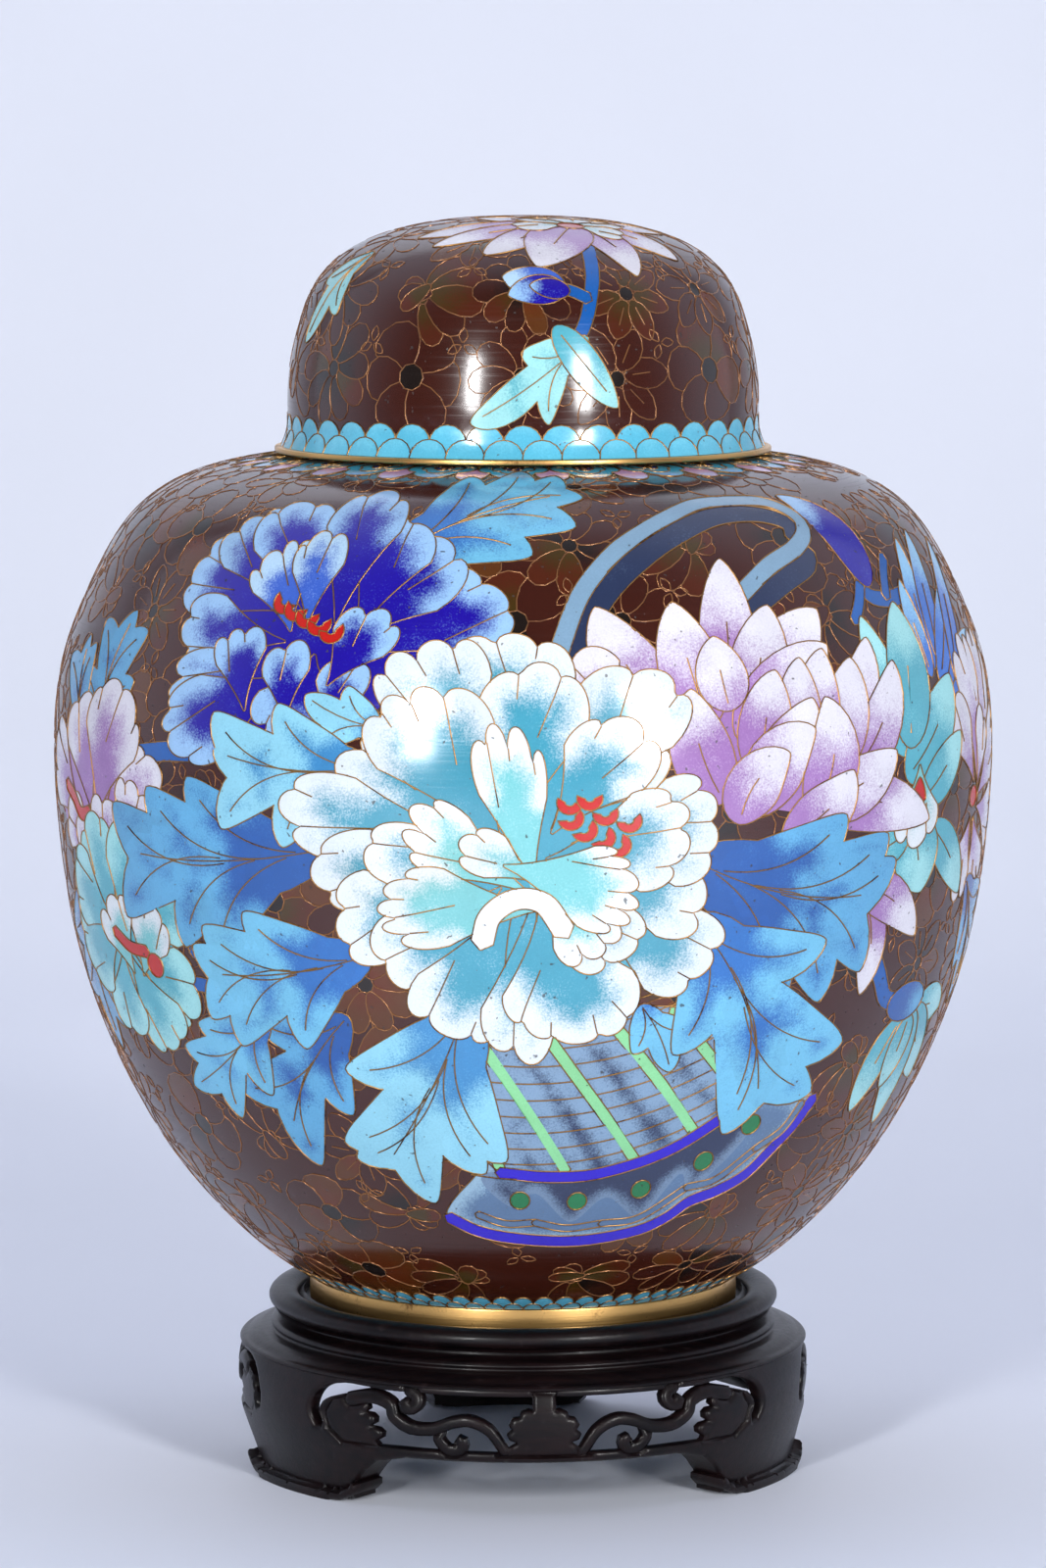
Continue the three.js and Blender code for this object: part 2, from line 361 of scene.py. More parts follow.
class CapChart:
    """The lid seen from above, with every run drawn out at its full length from the crown."""

    def __init__(self, line: WallLine) -> None:
        """Keep the lid's outline."""
        self.line = line

    def flat(self, angle: Array | float, run: Array | float) -> Array:
        """Put angles and runs on the chart.

        Args:
            angle: The angles.
            run: The runs.

        Returns:
            The spots on the chart.
        """
        reach = self.line.length - np.asarray(run)
        spots = np.broadcast_arrays(reach * np.sin(angle), -reach * np.cos(angle))
        return np.stack(spots, axis=-1).astype(float)

    def wall(self, spots: Array) -> tuple[Array, Array]:
        """Read angle and run from the chart."""
        return np.arctan2(spots[:, 0], -spots[:, 1]), self.line.length - np.hypot(spots[:, 0], spots[:, 1])

    def local(self, angle: float, run: float) -> Callable[[Array], Array]:
        """Give what puts millimetres across and up from a place on the wall on the chart.

        Args:
            angle: The place's angle.
            run: Its run.

        Returns:
            A function of the places.
        """
        stretch = (self.line.length - run) / float(self.line.radius(run))
        across = np.array([math.cos(angle), math.sin(angle)]) * stretch
        up = np.array([-math.sin(angle), math.cos(angle)])
        return lambda offsets: self.flat(angle, run) + offsets[:, :1] * across + offsets[:, 1:] * up

    def border(self, step: float) -> Array:
        """Outline the whole chart, its start not repeated.

        Args:
            step: The distance between its points.

        Returns:
            The outline's points.
        """
        turn = np.linspace(0, TURN, round(TURN * self.line.length / step), endpoint=False)
        return self.line.length * compass(turn)

    def holds(self, spots: Array) -> Array:
        """Tell which spots lie on the chart."""
        return np.hypot(spots[:, 0], spots[:, 1]) < self.line.length * 0.99995

    def copies(self, edge: Array) -> list[Array]:
        """Give an outline as it is, because the lid has no seam."""
        return [edge]


@dataclass
class Cell:
    """One enclosed field of enamel."""

    edge: Array  # its outline on the chart
    glaze: enum.Enum  # its enamel, or its kind of carving
    bright: Array  # the points that the light colour gathers round
    reach: float  # how far the light colour goes
    group: int  # cells of one group melt into one shape
    tone: float  # how much lighter or darker than its glaze it came out
    layer: str  # the layer of the wire round it, or nothing where it has none


class Picture:
    """Cells and strokes of wire on a chart, in painter's order."""

    def __init__(self, chart: BeltChart | CapChart, seed: int) -> None:
        """Start an empty picture on a chart, with a seed for its small variations.

        Args:
            chart: The chart.
            seed: The seed.
        """
        self.chart = chart
        self.cells: list[Cell] = []
        self.strokes: list[tuple[Array, int, str]] = []
        self.random = np.random.default_rng(seed)
        self.groups = 0
        self.layer = "picture"

    def new_group(self) -> int:
        """Open a group whose cells melt together."""
        self.groups += 1
        return self.groups

    def cell(
            self, edge: Array, glaze: enum.Enum, bright: Array | None = None, reach: float = 10.0,
            group: int = 0, wired: bool = True) -> None:
        """Lay a cell over what is there.

        Args:
            edge: Its outline.
            glaze: Its enamel, or its kind of carving.
            bright: Points that the light colour gathers round, or none for the deep colour alone.
            reach: How far the light colour goes.
            group: The group that it melts into, or 0.
            wired: Whether a wire runs round it.
        """
        bright = np.zeros((0, 2)) if bright is None else np.atleast_2d(bright)
        tone = float(self.random.uniform(-1, 1))
        layer = self.layer if wired else ""
        for twin in self.chart.copies(edge):
            shift = twin[0] - edge[0]
            self.cells.append(Cell(twin, glaze, bright + shift, reach, group, tone, layer))

    def stroke(self, path: Array) -> None:
        """Lay an open wire over what is there."""
        self.strokes.append((np.asarray(path, float), len(self.cells), self.layer))

    def _boxes(self) -> None:
        """Note every cell's lowest and highest corner."""
        self.low = np.array([c.edge.min(axis=0) for c in self.cells])
        self.high = np.array([c.edge.max(axis=0) for c in self.cells])
        self.group_of = np.array([c.group for c in self.cells])

    def _covers(self, path: Array, order: int, group: int) -> list[Array]:
        """List the outlines that may hide a path.

        Args:
            path: The path's points.
            order: Cells from this number on lie over it.
            group: The path's own group, whose other cells hide it too.

        Returns:
            The outlines whose box meets the path's box.
        """
        low, high = path.min(axis=0), path.max(axis=0)
        meets = (self.low <= high).all(axis=1) & (self.high >= low).all(axis=1)
        index = np.arange(len(self.cells))
        over = index >= order
        if group:
            over |= (self.group_of == group) & (index != order - 1)
        return [self.cells[i].edge for i in np.nonzero(meets & over)[0]]

    def _hidden(self, points: Array, covers: list[Array]) -> Array:
        """Tell which points lie off the chart or under any of the outlines.

        Args:
            points: The points.
            covers: The outlines.

        Returns:
            True for each hidden point.
        """
        hidden = ~self.chart.holds(points)
        for edge in covers:
            rest = ~hidden
            if rest.any():
                hidden[rest] = inside(points[rest], edge)
        return hidden

    def _runs(self, path: Array, order: int, group: int, closed: bool) -> list[Array]:
        """Cut a path down to the runs of it that show.

        Args:
            path: The path's points.
            order: Cells from this number on lie over it.
            group: The path's own group.
            closed: Whether the path comes back to its start.

        Returns:
            The runs, each ending where a cell above begins.
        """
        if closed:
            path = np.vstack([path, path[:1]])
        covers = self._covers(path, order, group)
        hidden = self._hidden(path, covers)
        if not hidden.any():
            return [path]
        if hidden.all():
            return []
        change = np.nonzero(hidden[:-1] != hidden[1:])[0]
        shown = np.where(hidden[change, None], path[change + 1], path[change])
        lost = np.where(hidden[change, None], path[change], path[change + 1])
        for _ in range(8):
            middle = (shown + lost) / 2
            under = self._hidden(middle, covers)[:, None]
            lost, shown = np.where(under, middle, lost), np.where(under, shown, middle)
        runs, current, crossing = [], [] if hidden[0] else [path[0]], 0
        for i in range(1, len(path)):
            if hidden[i - 1] != hidden[i]:
                current.append(lost[crossing])
                crossing += 1
                if hidden[i]:
                    runs.append(np.array(current))
                    current = []
            if not hidden[i]:
                current.append(path[i])
        if current:
            runs.append(np.array(current))
        if closed and len(runs) > 1 and not hidden[0] and not hidden[-1]:
            runs[0] = np.vstack([runs.pop(), runs[0][1:]])
        steps = (np.linalg.norm(np.diff(run, axis=0), axis=1) for run in runs)
        return [run for run, step in zip(runs, steps) if step.sum() > SHORTEST_RUN]

    def trace(self) -> list[tuple[Array, str]]:
        """Find every run of wire that shows.

        Returns:
            Each run's points and its layer, which is empty where the cell has no wire.
        """
        self._boxes()
        found = []
        for i, cell in enumerate(self.cells):
            for run in self._runs(cell.edge, i + 1, cell.group, True):
                found.append((thinned(run, WIRE_SLACK), cell.layer))
        for path, order, layer in self.strokes:
            for run in self._runs(path, order, 0, False):
                found.append((thinned(run, WIRE_SLACK), layer))
        return found

    def cut(self, runs: list[tuple[Array, str]], step: float) -> tuple[Array, Array, Array]:
        """Cut the chart into triangles along every run of wire.

        Args:
            runs: The runs of wire from trace.
            step: The size of the triangles between them.

        Returns:
            The points, the triangles, and the cell that each triangle shows, or -1 for the ground.
        """
        border = self.chart.border(step)
        count = len(border)
        order = np.arange(count)
        spots, edges = [border], [np.stack([order, np.roll(order, -1)], 1)]
        for run, _ in runs:
            spots.append(run)
            edges.append(np.stack([np.arange(len(run) - 1), np.arange(1, len(run))], 1) + count)
            count += len(run)
        taken = np.vstack(spots)
        sides = [np.arange(a + step / 2, b, step) for a, b in zip(taken.min(axis=0), taken.max(axis=0))]
        grid = np.stack(np.meshgrid(*sides), -1).reshape(-1, 2)
        grid[:, 0] += np.where(np.round(grid[:, 1] / step) % 2 == 0, step / 4, -step / 4)
        grid = grid[self.chart.holds(grid)]
        bin_size = step * 0.45
        near = np.floor(taken / bin_size).astype(np.int64)
        blocked = {(x + i, y + j) for x, y in near.tolist() for i in (-1, 0, 1) for j in (-1, 0, 1)}
        free = [tuple(key) not in blocked for key in np.floor(grid / bin_size).astype(np.int64).tolist()]
        every = np.vstack([taken, grid[np.array(free, bool)]])
        lines = np.vstack(edges).tolist()
        made = delaunay_2d_cdt([tuple(p) for p in every.tolist()], lines, [], 0, MERGED, False)
        points = np.array([tuple(p) for p in made[0]])
        faces = np.array(made[2])
        corners = points[faces]
        first, second = corners[:, 1] - corners[:, 0], corners[:, 2] - corners[:, 0]
        area = first[:, 0] * second[:, 1] - first[:, 1] * second[:, 0]
        faces[area < 0] = faces[area < 0][:, ::-1]
        centres = corners.mean(axis=1)
        keep = self.chart.holds(centres) & (np.abs(area) > SLIVER)
        faces, centres = faces[keep], centres[keep]
        owner = np.full(len(faces), -1)
        for i, cell in enumerate(self.cells):
            close = ((centres >= self.low[i]) & (centres <= self.high[i])).all(axis=1).nonzero()[0]
            if len(close):
                owner[close[inside(centres[close], cell.edge)]] = i
        return points, faces, owner


@dataclass(frozen=True)
class Petal:
    """A broad petal with a scalloped edge."""

    root: Pair
    tip: Pair  # the middle of its edge
    width: float
    lobes: int = 3  # how many scallops its edge has
    cut: float = 0.16  # how deep they go, as a share of its length
    fold: float = 0.4  # how far its longest fold line runs in, as a share of its length

    def draw(self, picture: Picture, glaze: Glaze, reach: float = 12.0) -> None:
        """Lay the petal and its fold lines on a picture.

        Args:
            picture: The picture.
            glaze: Its enamel.
            reach: How far its light edge goes in.
        """
        root, tip = np.array(self.root, float), np.array(self.tip, float)
        length = float(np.linalg.norm(tip - root))
        heading = math.atan2(*(tip - root)[::-1])
        half = math.asin(min(self.width / (1.56 * length), 0.97))
        weights = picture.random.uniform(0.75, 1.3, self.lobes)
        marks = np.r_[0, np.cumsum(weights)] / weights.sum() * 2 - 1
        across = np.linspace(-1, 1, 11 * self.lobes + 1)
        lobe = np.clip(np.searchsorted(marks, across, side="right") - 1, 0, self.lobes - 1)
        within = (across - marks[lobe]) / (marks[lobe + 1] - marks[lobe]) * 2 - 1
        sink = np.clip(picture.random.uniform(0.6, 1.25, self.lobes + 1), 0, 1.3)
        depth = self.cut * np.where(within > 0, sink[lobe + 1], sink[lobe])
        reach_out = length * (1 - 0.22 * np.abs(across) ** 2.6)
        wave = 1 + 0.05 * np.sin(across * 2.4 + picture.random.uniform(0, TURN))
        radius = reach_out * wave * (1 - depth * (1 - np.sqrt(1 - 0.97 * within**2)))
        turn = heading - across * half
        rim = root + radius[:, None] * ray(turn)
        share = np.linspace(0.9, 0.06, 7)
        sides = []
        for sign, end in ((-1, radius[-1]), (1, radius[0])):
            sides.append(root + (end * share)[:, None] * ray(heading + sign * half * share**0.4))
        picture.cell(np.vstack([rim, sides[0], sides[1][::-1]]), glaze, rim, reach)
        longest = int(picture.random.integers(1, max(self.lobes, 2)))
        for k in range(1, self.lobes):
            at = int(np.abs(across - marks[k]).argmin())
            inward = self.fold if k == longest else float(picture.random.uniform(0.06, 0.16))
            near = np.linspace(1.0, 1 - inward, max(3, round(inward * length / 1.6)))
            sway = picture.random.uniform(0.5, 1.1) * (1 if picture.random.random() < 0.5 else -1)
            drift = turn[at] + sway * half * (1 - near) ** 2 + 0.1 * sway * (1 - near)
            picture.stroke(root + (radius[at] * near)[:, None] * ray(drift))


@dataclass(frozen=True)
class Blade:
    """A pointed petal, or one lobe of a leaf."""

    root: Pair
    tip: Pair
    width: float
    bend: float = 0.0  # how far its middle swings to the left, as a share of its length
    point: float = 0.72  # how sharp its tip is, from 0.5 for a round one

    def axis(self, share: Array) -> tuple[Array, Array]:
        """Give places along the middle and the sideways direction there.

        Args:
            share: How far along, from 0 to 1.

        Returns:
            The places and the directions.
        """
        root, tip = np.array(self.root, float), np.array(self.tip, float)
        along = tip - root
        middle = (root + tip) / 2 + 2 * self.bend * np.array([-along[1], along[0]])
        u = share[:, None]
        line = (1 - u) ** 2 * root + 2 * u * (1 - u) * middle + u**2 * tip
        slope = 2 * (1 - u) * (middle - root) + 2 * u * (tip - middle)
        return line, beside(unit(slope))

    def outline(self) -> Array:
        """Give the closed outline.

        Returns:
            The outline's points.
        """
        u = (1 - np.cos(np.linspace(0, math.pi, 15))) / 2
        line, side = self.axis(u)
        wide = u**0.55 * (1 - u) ** self.point
        half = (self.width / 2 * wide / wide.max())[:, None]
        return np.vstack([line + side * half, (line - side * half)[-2:0:-1]])

    def draw(self, picture: Picture, glaze: Glaze, reach: float = 16.0, vein: float = 0.0) -> None:
        """Lay the blade on a picture.

        Args:
            picture: The picture.
            glaze: Its enamel.
            reach: How far the light colour comes down from the tip.
            vein: How far a wire runs up its middle, as a share of its length.
        """
        line, _ = self.axis(np.array([0.86, 1.0]))
        picture.cell(self.outline(), glaze, line, reach)
        if vein:
            picture.stroke(self.axis(np.linspace(0.1, vein, 9))[0])


@dataclass(frozen=True)
class Leaf:
    """A feathered leaf: veined and pointed lobes on either side of a midrib, melted into one shape."""

    root: Pair
    tip: Pair
    spread: float  # how far it reaches across
    bend: float = 0.0  # how far its middle swings to the left, as a share of its length
    pairs: int = 2  # how many pairs of side lobes it has

    def blades(self, random: np.random.Generator) -> list[Blade]:
        """List its lobes, the one at the tip last.

        Args:
            random: What its small variations are drawn from.

        Returns:
            The lobes.
        """
        rib = Blade(self.root, self.tip, 1.0, self.bend)
        length = float(np.linalg.norm(np.subtract(self.tip, self.root)))
        made = []
        for k in range(self.pairs):
            for sign in (-1, 1):
                share = 0.1 + 0.46 * (k + 0.28 * (sign > 0)) / self.pairs + random.uniform(-0.02, 0.02)
                (start,), (side,) = rib.axis(np.array([share]))
                ahead = np.array([side[1], -side[0]])
                lean = math.radians(42 - 11 * k + random.uniform(-6, 6))
                way = ahead * math.cos(lean) + side * sign * math.sin(lean)
                reach = min(self.spread * 0.5 / math.sin(lean), length * 0.76) * (1.12 - 0.12 * k)
                tip = tuple(start + way * reach)
                made.append(Blade(tuple(start - ahead * 2), tip, 0.37 * reach + 3.2, -0.15 * sign, 0.64))
        (start,), _ = rib.axis(np.array([0.34]))
        made.append(Blade(tuple(start), self.tip, self.spread * 0.38 + 2, self.bend, 0.64))
        return made

    def draw(self, picture: Picture, glaze: Glaze, reach: float = 10.0) -> None:
        """Lay the leaf on a picture.

        Args:
            picture: The picture.
            glaze: Its enamel.
            reach: How far the light colour comes in from the outer part of its edge.
        """
        lobes = self.blades(picture.random)
        body = Blade(self.root, self.tip, self.spread * 0.5, self.bend).outline()
        outlines = [body] + [lobe.outline() for lobe in lobes]
        outer = slice(8, len(body) - 7)
        rims = np.vstack([outline[outer] for outline in outlines[1:]])
        group = picture.new_group()
        for outline in outlines:
            picture.cell(outline, glaze, rims, reach, group)
        for lobe in lobes[:-1]:
            picture.stroke(lobe.axis(np.linspace(0.08, 0.84, 12))[0])
        picture.stroke(Blade(self.root, self.tip, 1.0, self.bend).axis(np.linspace(0.04, 0.9, 16))[0])


@dataclass(frozen=True)
class Band:
    """A strip along a smooth path: a stem, a handle, a hem or a carved vine."""

    path: Rows  # the places it passes through
    width: float  # its width at the start
    end: float = 0.0  # its width at the end, or 0 where it stays the same
    step: float = 2.0  # the distance between its points

    def outline(self) -> Array:
        """Give the closed outline, with rounded ends.

        Returns:
            The outline's points.
        """
        line = curve_through(self.path, self.step)
        slope = unit(np.gradient(line, axis=0))
        half = np.linspace(self.width, self.end or self.width, len(line))[:, None] / 2
        side = beside(slope) * half
        tip, tail = line[-1] + slope[-1] * half[-1] * 0.8, line[0] - slope[0] * half[0] * 0.8
        return np.vstack([tail, line + side, tip, (line - side)[::-1]])

    def draw(self, picture: Picture, glaze: Glaze) -> None:
        """Lay the band on a picture."""
        picture.cell(self.outline(), glaze)


def ring(centre: Pair, across: float, up: float, count: int = 18) -> Array:
    """Draw an oval.

    Args:
        centre: Its middle.
        across: Half its width.
        up: Half its height.
        count: How many points it has.

    Returns:
        Its closed outline.
    """
    turn = np.linspace(0, TURN, count, endpoint=False)
    return np.array(centre) + ray(turn) * (across, up)


def crescent(centre: Pair, size: float, turn: float) -> Array:
    """Draw a stamen's crescent.

    Args:
        centre: Its middle.
        size: Its length.
        turn: The way its back faces, in degrees.

    Returns:
        Its closed outline.
    """
    back = ray(np.linspace(-1.9, 1.9, 11))
    hollow = ray(np.linspace(1.7, -1.7, 7)) * (0.22, 0.3)
    shape = (np.vstack([back, hollow]) - (0.35, 0)) * size / 2
    return np.array(centre) + turned(shape, math.radians(turn))


class BloomForm(enum.Enum):
    """The wire flowers that fill the ground, with how many petals each has and how wide they are."""

    ROUND = (6, 0.78)
    STAR = (7, 0.5)
    DAISY = (9, 0.44)
    SIDE = (5, 0.5)


@dataclass(frozen=True)
class GroundBloom:
    """One wire flower of the ground, at an angle and a run on the wall."""

    angle: float
    run: float
    size: float
    form: BloomForm
    turn: float

    def _petal(
            self, picture: Picture, heading: float, near: float, far: float, width: float,
            glaze: Glaze) -> None:
        """Lay one egg-shaped petal.

        Args:
            picture: The picture.
            heading: The way it points.
            near: Where it starts, from the flower's middle.
            far: Where it ends.
            width: Its widest measure.
            glaze: Its enamel.
        """
        u = np.linspace(0, TURN, 13, endpoint=False)
        along = (near + far) / 2 - (far - near) / 2 * np.cos(u)
        sharp = self.form is BloomForm.STAR
        swell = np.sin(u) * (1 - 0.3 * np.cos(u)) if not sharp else np.sin(u) * np.abs(np.sin(u)) ** 0.5
        shape = np.stack([along, width / 2 * swell * picture.random.uniform(0.85, 1.1)], 1)
        edge = picture.chart.local(self.angle, self.run)(turned(shape, heading))
        picture.cell(edge, glaze, edge[5:9], far * 0.8)

    def draw(self, picture: Picture) -> None:
        """Lay the flower on a picture.

        Args:
            picture: The picture.
        """
        random, size = picture.random, self.size
        onto = picture.chart.local(self.angle, self.run)
        glazes = (Glaze.GROUND, Glaze.GROUND, Glaze.GROUND_AMBER, Glaze.GROUND_OLIVE, Glaze.GROUND_DARK)
        own = glazes[int(random.integers(5))]

        def pick() -> Glaze:
            """Choose a petal's enamel, most often the flower's own."""
            return own if random.random() < 0.6 else glazes[int(random.integers(5))]

        count, wide = self.form.value
        if self.form is BloomForm.SIDE:
            for k in (-2, 2, -1, 1, 0):
                far = size * (1.25 - 0.1 * abs(k))
                self._petal(picture, self.turn + 0.5 * k, 0.2 * size, far, wide * size, pick())
            for k in (-1, 0, 1):
                heading = self.turn + math.pi + 0.8 * k
                self._petal(picture, heading, -0.25 * size, 0.42 * size, 0.34 * size, pick())
        else:
            for k in range(count):
                far = size * random.uniform(0.86, 1.08)
                self._petal(picture, self.turn + TURN * k / count, 0.14 * size, far, wide * size, pick())
            heart = 0.24 if self.form is BloomForm.ROUND else 0.16
            picture.cell(onto(ring((0, 0), heart * size, heart * size, 9)), Glaze.GROUND_DARK)
            if self.form is BloomForm.STAR:
                for k in range(count):
                    way = self.turn + TURN * k / count
                    reach = np.array([[0.3 * size], [0.66 * size]])
                    picture.stroke(onto(reach * (math.cos(way), math.sin(way))))


@dataclass(frozen=True)
class Ground:
    """The field of wire flowers."""

    low: float  # the run that it starts at
    high: float  # the run that it ends at
    pitch: float = 29.0

    def draw(self, picture: Picture) -> None:
        """Fill a picture with flowers, and with small three-leaved marks between them.

        Args:
            picture: The picture.
        """
        picture.layer = "ground"
        random, line = picture.random, picture.chart.line
        rows = max(1, round((self.high - self.low) / (self.pitch * 0.86)))
        marks = []
        for row in range(rows):
            run = self.low + (row + 0.5) * (self.high - self.low) / rows
            count = max(1, round(TURN * float(line.radius(run)) / self.pitch))
            for k in range(count):
                angle = (k + 0.5 * (row % 2) + random.uniform(-0.12, 0.12)) * TURN / count - math.pi
                form = list(BloomForm)[int(random.integers(4))]
                size = self.pitch * random.uniform(0.48, 0.56)
                place = run + random.uniform(-2, 2)
                GroundBloom(angle, place, size, form, random.uniform(0, TURN)).draw(picture)
                marks.append((angle + 0.5 * TURN / count, run + self.pitch * 0.3, random.uniform(0, TURN)))
        sprout = np.array([(0.6, 0), (2.4, 1.1), (4.6, 0), (2.4, -1.1), (0.6, 0)])
        for angle, run, turn in marks:
            onto = picture.chart.local(angle, run)
            for k in range(3):
                picture.stroke(onto(curve_through(turned(sprout, turn + TURN * k / 3), 1.0)))
        picture.layer = "picture"


@dataclass(frozen=True)
class ScaleBorder:
    """Two rows of round scales along an edge of the wall."""

    count: int  # how many scales go round
    tops: Pair  # the run of each row's tops, the upper row first

    def draw(self, picture: Picture) -> None:
        """Lay the border on a picture.

        Args:
            picture: The picture.
        """
        flat = picture.chart.flat
        step = TURN / self.count
        for row, top in enumerate(self.tops):
            for k in range(self.count):
                turn = np.linspace(0, math.pi, 9)
                angle = (k + 0.5 * row) * step - math.pi + 0.52 * step * np.cos(turn)
                run = np.maximum(top - 5.0, 0) + (top - np.maximum(top - 5.0, 0)) * np.sin(turn)
                foot = np.linspace(angle[-1], angle[0], 5)
                edge = np.vstack([flat(angle, run), flat(foot, np.full(5, -2.0))])
                picture.cell(edge, Glaze.SKY, flat(angle[3:6], run[3:6]), 4.0)


@dataclass(frozen=True)
class CloudCollar:
    """The row of cloud heads round the neck, with a pink scallop between each two."""

    count: int  # how many there are
    shift: float  # the chart's place of one cloud's middle
    pitch: float  # the distance between them on the chart

    def draw(self, picture: Picture) -> None:
        """Lay the collar on a picture.

        Args:
            picture: The picture.
        """
        half = picture.chart.half

        def wrapped(x: float) -> float:
            """Bring a place past the seam back onto the chart."""
            return (x + half) % (2 * half) - half

        middles = [self.shift + self.pitch * (k - self.count // 2) for k in range(self.count)]
        for x in middles:
            x = wrapped(x + self.pitch / 2)
            picture.cell(ring((x, 281.5), 7.6, 8.2), Glaze.PINK, np.array([[x, 273.5]]), 7.0)
        for x in middles:
            x = wrapped(x)
            for size, glaze in ((1.0, Glaze.CLOUD), (0.62, Glaze.SKY), (0.3, Glaze.COBALT_PALE)):
                group = picture.new_group()
                for across, up, wide, tall in ((0, 284.5, 10.5, 9), (-10, 289, 7, 6.5), (10, 289, 7, 6.5)):
                    middle = (x + across * size, 290 + (up - 290) * size)
                    edge = ring(middle, wide * size, tall * size)
                    picture.cell(edge, glaze, np.array([[x, 276.0]]), 9.0, group)
        for x in middles:
            picture.cell(ring((wrapped(x), 289.5), 1.7, 1.7, 10), Glaze.PINK)


@dataclass(frozen=True)
class JarPicture:
    """The jar's picture: a basket of peonies and lotus on a field of wire flowers."""

    art: Picture

    def draw(self) -> Picture:
        """Draw the whole picture, from the ground up.

        Returns:
            The finished picture.
        """
        length = self.art.chart.line.length
        Ground(10, length - 16).draw(self.art)
        ScaleBorder(72, (9.0, 4.6)).draw(self.art)
        CloudCollar(22, 64.0, 2 * self.art.chart.half / 22).draw(self.art)
        self._stems()
        self._back_sprays()
        self._basket_handle()
        self._cobalt_bud()
        self._right_lilac()
        self._right_lotus()
        self._lilac()
        self._basket()
        self._right_leaves()
        self._left_flowers()
        self._blue_peony()
        self._left_leaves()
        self._main_peony()
        return self.art

    def _petals(self, glaze: Glaze, reach: float, *rows: tuple[float, ...]) -> None:
        """Lay broad petals, each given by its root, tip, width, lobes and, if wanted, cut and fold."""
        for x, y, across, up, *sizes in rows:
            Petal((x, y), (across, up), *sizes).draw(self.art, glaze, reach)

    def _blades(self, glaze: Glaze, reach: float, *rows: tuple[float, ...], vein: float = 0.55) -> None:
        """Lay pointed petals with a vein, each given by its root, tip, width and bend."""
        for x, y, across, up, *sizes in rows:
            Blade((x, y), (across, up), *sizes).draw(self.art, glaze, reach, vein)

    def _leaves(self, glaze: Glaze, reach: float, *rows: tuple[float, ...]) -> None:
        """Lay leaves, each given by its root, tip, spread, bend and, if wanted, pairs of lobes."""
        for x, y, across, up, *sizes in rows:
            Leaf((x, y), (across, up), *sizes).draw(self.art, glaze, reach)

    def _bands(self, glaze: Glaze, width: float, *paths: Rows, step: float = 2.0) -> None:
        """Lay bands of one width, each given by its path."""
        for path in paths:
            Band(path, width, step=step).draw(self.art, glaze)

    def _bed(self, glaze: Glaze, edge: Rows) -> None:
        """Lay the body that a flower's petals grow from, without a wire round it."""
        self.art.cell(curve_through(edge, 2.0, True), glaze, wired=False)

    def _stamens(self, size: float, *spots: Triple) -> None:
        """Lay red crescents of one size, each given by its middle and its turn."""
        for x, y, turn in spots:
            self.art.cell(crescent((x, y), size, turn), Glaze.RED)

    def _stems(self) -> None:
        """Lay the stems that cross the ground."""
        for width, *path in (
                (5.0, (97, 130), (105, 118), (110, 111), (118, 109)),
                (4.5, (-92, 127), (-84, 126.5), (-76, 124)), (4.0, (-96, 117), (-90, 117), (-84, 115.5)),
                (4.5, (105, 230), (106, 223), (114, 221), (126, 222)),
                (3.5, (114, 222), (117, 228), (121, 233)), (3.5, (104, 226), (101, 221), (97, 216)),
                (5.0, (-62, 190), (-80, 182), (-100, 180), (-124, 176)),
                (4.0, (-50, 130), (-70, 126), (-92, 126)), (4.0, (82, 196), (98, 190), (112, 176))):
            self._bands(Glaze.STEM, width, path)

    def _back_sprays(self) -> None:
        """Lay the two plainer sprays on the far side."""
        for x, y, side in ((238, 176, 1), (-268, 128, -1)):
            tips = ((30, 34, 15), (4, 44, 16), (-28, 30, 15), (-34, -2, 13), (34, -6, 13))
            heart = ((-14, 14), (12, 16), (-16, -10), (18, -12), (0, -24))
            self._bands(Glaze.STEM, 5.0, ((x, y - 8), (x + 8 * side, y - 40), (x - 6 * side, y - 66)))
            self._leaves(Glaze.LEAF, 10, (x + 4 * side, y - 46, x + 44 * side, y - 58, 34, 0.08))
            self._leaves(Glaze.LEAF_DEEP, 10, (x, y - 30, x - 44 * side, y - 44, 36, -0.1))
            self._petals(Glaze.PEONY, 12, *((x, y, x + dx, y + dy, 1.5 * wide, 3) for dx, dy, wide in tips))
            self._petals(Glaze.PEONY_PALE, 9, *((x, y - 6, x + dx, y + dy, 18, 3) for dx, dy in heart))
            self._stamens(7, *((x - 6 + 5 * k, y + 3 + 1.5 * k * (2 - k), 250 + 20 * k) for k in range(4)))

    def _basket_handle(self) -> None:
        """Lay the basket's bowed handle."""
        outer = (
            (8, 208), (15, 226), (25, 238), (35, 245), (45, 250.5), (58, 256), (72, 257), (85, 255.5),
            (92, 249), (91, 243), (84, 238), (72, 233), (60, 225))
        inner = (
            (13, 206), (17, 219), (24, 229), (34, 237.5), (45, 244), (60, 250), (74, 251), (84, 248.5),
            (87, 245), (86, 241))
        low = ((88, 237), (86, 233), (75, 228), (62, 221))
        self._bands(Glaze.SLATE, 6.5, inner)
        self._bands(Glaze.SLATE, 6.0, low)
        self._bands(Glaze.STEEL, 4.8, outer)

